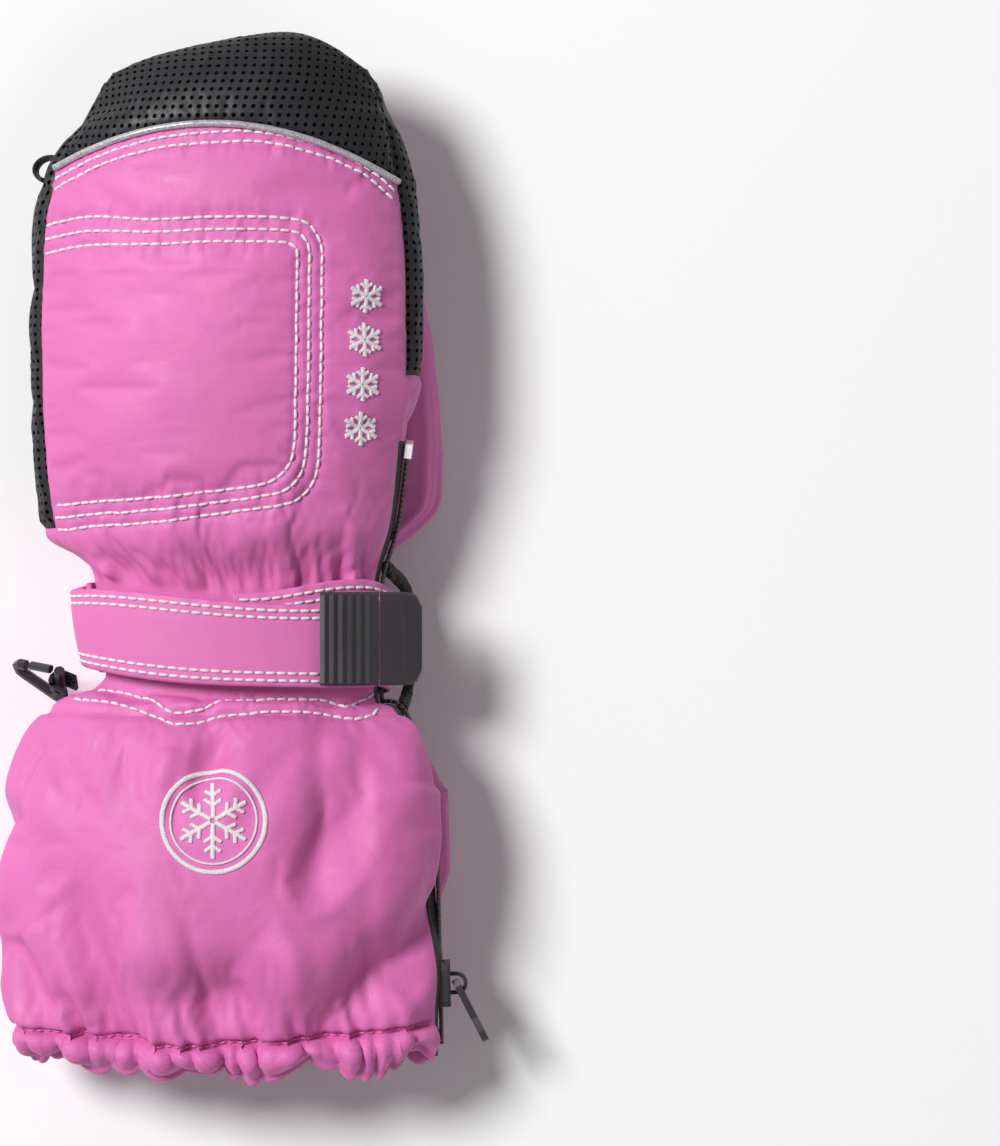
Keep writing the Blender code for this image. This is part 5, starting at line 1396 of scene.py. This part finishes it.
def strap_piece(name, first, last, low, high, edges, body, *nodes):
    """A length of strap from column to column, between two lifts off the mitten."""
    columns = np.arange(first, last + 1e-6, 0.09)
    section = strap_section(low, high)
    lowest, highest = edges(columns)
    rings = []
    wobble = ripples((columns - first) / 40 + 0.01, 30, 131)
    for s, lift in section:
        place, out = strap_point(columns, mix(lowest, highest, s)[:, None], lift)
        edge = abs(2 * s - 1) ** 4
        rings.append(place + out * (0.1 * wobble * edge)[:, None])
    grid = np.stack(rings, 1)
    faces = closed_tube(len(columns), len(section))
    across = run_of(grid[len(columns) // 2])
    flat = np.stack(np.meshgrid(run_of(grid[:, 3]), across, indexing="ij"), -1).reshape(-1, 2)
    piece(name, grid.reshape(-1, 3), faces, "strap", body, nodes, "pink_strap",
          flat=corner_values(flat, faces))


def strap_stitches(first, last, lift, edges):
    """Two rows of stitches along each edge of the strap, between two columns."""
    columns = np.arange(first, last, 0.1)
    return [stitched(*strap_point(columns, mix(*edges(columns), share)[:, None], lift - 0.1))
            for share in STRAP_ROW_SHARES]


def pile_patch(name, low, high, body, *nodes):
    """A rectangle of loop or hook tape."""
    columns = np.linspace(*PATCH, 40)
    shares = np.linspace(0.12, 0.88, 12)
    points = np.array([strap_point(c, s, lift)[0][0]
                       for lift in (high, low) for c in columns for s in shares])
    quads = grid_quads(len(columns), len(shares))
    total = len(columns) * len(shares)
    index = np.arange(total).reshape(len(columns), len(shares))
    rim = np.concatenate([index[0, :], index[1:, -1], index[-1, -2::-1], index[-2:0:-1, 0]])
    sides = np.stack([rim, np.roll(rim, -1), np.roll(rim, -1) + total, rim + total], -1)
    quads = np.concatenate([quads, quads[:, ::-1] + total, sides[:, ::-1]])
    piece(name, points, quads, "pile", body, nodes, "black_webbing", smooth=False)


def build_strap():
    strap_piece("strap_band_fabric", BACK_END / 2 + 0.05, LEFT_LINE - 0.05, BAND_UNDER, BAND_OVER, band_edges,
                "mitten", "strap_band")
    strap_piece("strap_root_fabric", ROOT_START + 0.05, LEFT_LINE - 0.05, LOOP_UNDER, END_OVER, end_edges,
                "mitten", "strap_root")
    strap_piece("strap_end_fabric", LEFT_LINE + 0.05, ROUND + BACK_END - 0.7, END_UNDER, END_OVER, end_edges,
                "strap_flap", "strap_end")
    pile_patch("strap_loop_tape", LOOP_UNDER, LOOP_UNDER + PILE, "mitten", "strap_loop_patch")
    pile_patch("strap_hook_tape", HOOK_UNDER, HOOK_UNDER + PILE, "strap_flap", "strap_hook_patch")
    band = strap_stitches(BACK_END / 2 + 0.3, ROOT_START, BAND_OVER, band_edges)
    band += strap_stitches(ROOT_START + 0.2, LEFT_LINE - 0.1, END_OVER, end_edges)
    piece("strap_band_stitching", *together(band), "thread")
    flap = strap_stitches(LEFT_LINE + 0.15, ROUND + TAB_START, END_OVER, end_edges)
    piece("strap_end_stitching", *together(flap), "thread", "strap_flap")


build_strap()


# ---- Zip ----
COIL_PITCH, COIL_LENGTH, COIL_RADIUS, COIL_ASIDE, COIL_LIFT = 1.25, 3.3, 0.5, 0.95, 0.75
CORD_LENGTH, CORD_RADIUS, CORD_ASIDE, CORD_LIFT = 1.1, 0.28, 2.35, 0.55  # the row sewn along each coil


def build_coils():
    """Two rows of coils that mesh on the side seam's middle line."""
    rows = np.linspace(row_at(HEM), row_at(ZIP_TOP), 400)
    columns = np.full(len(rows), float(column_at(ZIP_LINE)))
    line, out = sampled(BASE, rows, columns), sampled(normals_of(BASE), rows, columns)
    run = run_of(line)
    low, high = CHAIN_START, run[-1] - STOP_LENGTH - 0.4
    parts = []
    for side in (-1, 1):
        at = np.arange(low, high, COIL_PITCH) + (COIL_PITCH / 2 if side > 0 else 0)
        centre, normal = read_at(at, run, line), read_at(at, run, out)
        along = np.gradient(centre, axis=0)
        across = unit(np.cross(normal, along)) * side
        place = centre + across * COIL_ASIDE + normal * COIL_LIFT
        parts.append(laid(place, across + along * 0.12, normal, COIL_LENGTH, COIL_RADIUS, 0.3))
        cord = centre + across * CORD_ASIDE + normal * CORD_LIFT
        parts.append(stitched(cord, normal, COIL_PITCH, CORD_LENGTH, CORD_RADIUS))
    piece("zip_coils", *together(parts), "coil", replaces=("zip_chain",), slot="black_plastic")


build_coils()


# ---- Piping, loops and clip tab ----
def tube(path, out, radii, round_count=12, braid=None):
    """An oval tube along points, its second radius the outward way; braid gives it crossed strands."""
    along = unit(np.gradient(path, axis=0))
    side = unit(np.cross(along, out))
    up = np.cross(side, along)
    run = run_of(path)
    turn = 2 * np.pi * np.arange(round_count) / round_count
    swell = np.ones((len(path), round_count))
    if braid:
        strands, lay = braid
        one = np.cos(strands * turn[None] + 2 * np.pi * run[:, None] / lay)
        two = np.cos(strands * turn[None] - 2 * np.pi * run[:, None] / lay)
        swell = 1 + 0.12 * (np.maximum(one, two) - 0.6)
    points = (path[:, None] + side[:, None] * (np.cos(turn)[None, :, None] * radii[0] * swell[..., None])
              + up[:, None] * (np.sin(turn)[None, :, None] * radii[1] * swell[..., None]))
    faces = closed_tube(len(path), round_count)
    flat = np.stack(np.meshgrid(run, turn * radii[0], indexing="ij"), -1)[..., ::-1].reshape(-1, 2)
    return points.reshape(-1, 3), faces, corner_values(flat, faces)


def build_piping():
    row = fine_row(PIPING)
    columns = np.arange(0, fine_column(BACK_END) + 1)
    out = SKIN_NORMALS[row, columns]
    points, faces, flat = tube(evened(SKIN[row, columns] + out, 10), out, (PIPING_RADIUS, PIPING_RADIUS))
    piece("piping_cord", points, faces, "reflective", replaces=("reflective_piping",), slot="reflective",
          flat=flat)


def smooth_path(knots, count):
    return np.array([through(knots, t) for t in np.linspace(0, len(knots) - 1, count)])


def pattern_place(row, column):
    """A place of the pattern and its outward direction, by station and column value."""
    r, c = np.array([float(row_at(row))]), np.array([float(column_at(column))])
    return sampled(BASE, r, c)[0], sampled(normals_of(BASE), r, c)[0]


def lifted(row, column, lift):
    place, out = pattern_place(row, column)
    return place + out * lift


PULL_RADII, PULL_BRAID = (2.0, 1.3), (4, 5.2)  # strands and lay
PULL_LIFT, PULL_OVER, PULL_BULGE = 1.1, END_OVER + 2.3, (1.6, 0, -0.2)
TIP_LOOP_HALF, TIP_LOOP_OUT, TIP_LOOP_RADII = 3.0, 3.6, (0.55, 1.6)


def build_pull_loop():
    """The braided loop at the thumb side, bridging the strap."""
    low, strap_low, strap_high, *seam = [
        lifted(row, PALM_START, lift) for row, lift in (
            (CUFF_SEAM, PULL_LIFT), (STRAP_LOW, PULL_OVER), (STRAP_HIGH, PULL_OVER), (STRAP_HIGH, PULL_LIFT),
            (GATHER, PULL_LIFT))]
    middle = (strap_low + strap_high) / 2 + np.array(PULL_BULGE)
    path = smooth_path([low, strap_low, middle, strap_high, mix(*seam, 0.4)], 150)
    points, faces, flat = tube(path, np.tile((1.0, 0, 0), (len(path), 1)), PULL_RADII, 32, PULL_BRAID)
    piece("pull_loop_braid", points, faces, "webbing", replaces=("pull_loop",), slot="black_webbing",
          flat=flat)


def build_tip_loop():
    """The small loop of tape beside the cap, in the side's seam."""
    low, high = lifted(PIPING, LEFT_LINE, 0.9), lifted(PIPING + 1 / 2, LEFT_LINE, 0.9)
    run = unit(high - low)
    _, out = pattern_place(PIPING, LEFT_LINE)
    path = np.array([low + run * (3.4 - TIP_LOOP_HALF * math.cos(t)) + out * (TIP_LOOP_OUT * math.sin(t))
                     for t in np.linspace(0, math.pi, 40)])
    points, faces, flat = tube(path, np.tile(np.cross(out, run), (len(path), 1)), TIP_LOOP_RADII, 16)
    piece("tip_loop_tape", points, faces, "webbing", replaces=("tip_loop",), slot="black_webbing", flat=flat)


def build_clip_tab():
    """The folded tab that carries the clip: its own solid with softened edges."""
    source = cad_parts["clip_tab"]
    mesh = source.data.copy()
    obj = bpy.data.objects.new("clip_tab_fold", mesh)
    bpy.context.scene.collection.objects.link(obj)
    layer = mesh.uv_layers.new(name=MAP)
    corners = np.array([mesh.vertices[loop.vertex_index].co[:] for loop in mesh.loops]) / MM
    layer.data.foreach_set("uv", corners[:, 1:].astype(np.float32).reshape(-1))
    mesh.materials.clear()
    mesh.materials.append(LOOKS["grip"])
    soften = obj.modifiers.new("soften", "BEVEL")
    soften.width = 0.25 * MM
    soften.segments = 3
    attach(obj, "mitten")
    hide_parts("clip_tab")


build_piping()
build_pull_loop()
build_tip_loop()
build_clip_tab()


# ---- Pieces that keep their shape ----
RIGID_LOOKS = {"zip_slider": "plastic", "zip_pull": "plastic", "zip_top_stop": "stop",
               "clip_frame": "plastic", "clip_gate": "plastic", "strap_tab_grip": "tab",
               "strap_tab_tip": "tab"}


def dress_rigid_pieces():
    for node, look in RIGID_LOOKS.items():
        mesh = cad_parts[node].data
        mesh.materials.clear()
        mesh.materials.append(LOOKS[look])


dress_rigid_pieces()


# ---- The studio ----
FLOOR_HALF, FLOOR_BELOW = 3.0, 0.0002  # metres, as are the lamps' places and sizes
WORLD_STRENGTH = 0.20


def add_floor():
    """A plain white sweep that reads as the photograph's bare ground, and keeps the mitten's shadow."""
    mesh = bpy.data.meshes.new("floor")
    corners = [(x * FLOOR_HALF, y * FLOOR_HALF, 0) for x, y in ((-1, -1), (1, -1), (1, 1), (-1, 1))]
    mesh.from_pydata(corners, [], [(0, 1, 2, 3)])
    floor = bpy.data.objects.new("floor", mesh)
    floor.location.z = -FLOOR_BELOW
    bpy.context.scene.collection.objects.link(floor)
    look = Look("paper", (0.93, 0.93, 0.935), 0.9, Specular_IOR_Level=0.1)
    grain = look.noise(look.solid_place(3.0))
    look.join(look.shade(look.spread(grain, 0, 1), 0.99, 1.0), "Base Color")
    mesh.materials.append(look.made)


def add_lamp(name, place, size, power):
    data = bpy.data.lights.new(name, "AREA")
    data.shape = "DISK"
    data.size = size
    data.energy = power
    lamp = bpy.data.objects.new(name, data)
    lamp.location = place
    lamp.rotation_mode = "QUATERNION"
    lamp.rotation_quaternion = (-Vector(place)).to_track_quat("-Z", "Y")
    bpy.context.scene.collection.objects.link(lamp)


def add_light():
    world = bpy.data.worlds.new("studio")
    world.use_nodes = True
    background = world.node_tree.nodes["Background"]
    background.inputs["Color"].default_value = (1.0, 1.0, 1.0, 1)
    background.inputs["Strength"].default_value = WORLD_STRENGTH
    bpy.context.scene.world = world
    add_lamp("key", (-1.75, 1.0, 2.5), 1.1, 106.0)
    add_lamp("fill", (2.0, -1.2, 2.6), 2.0, 10.0)


add_floor()
add_light()
bpy.context.scene.view_settings.view_transform = "Standard"
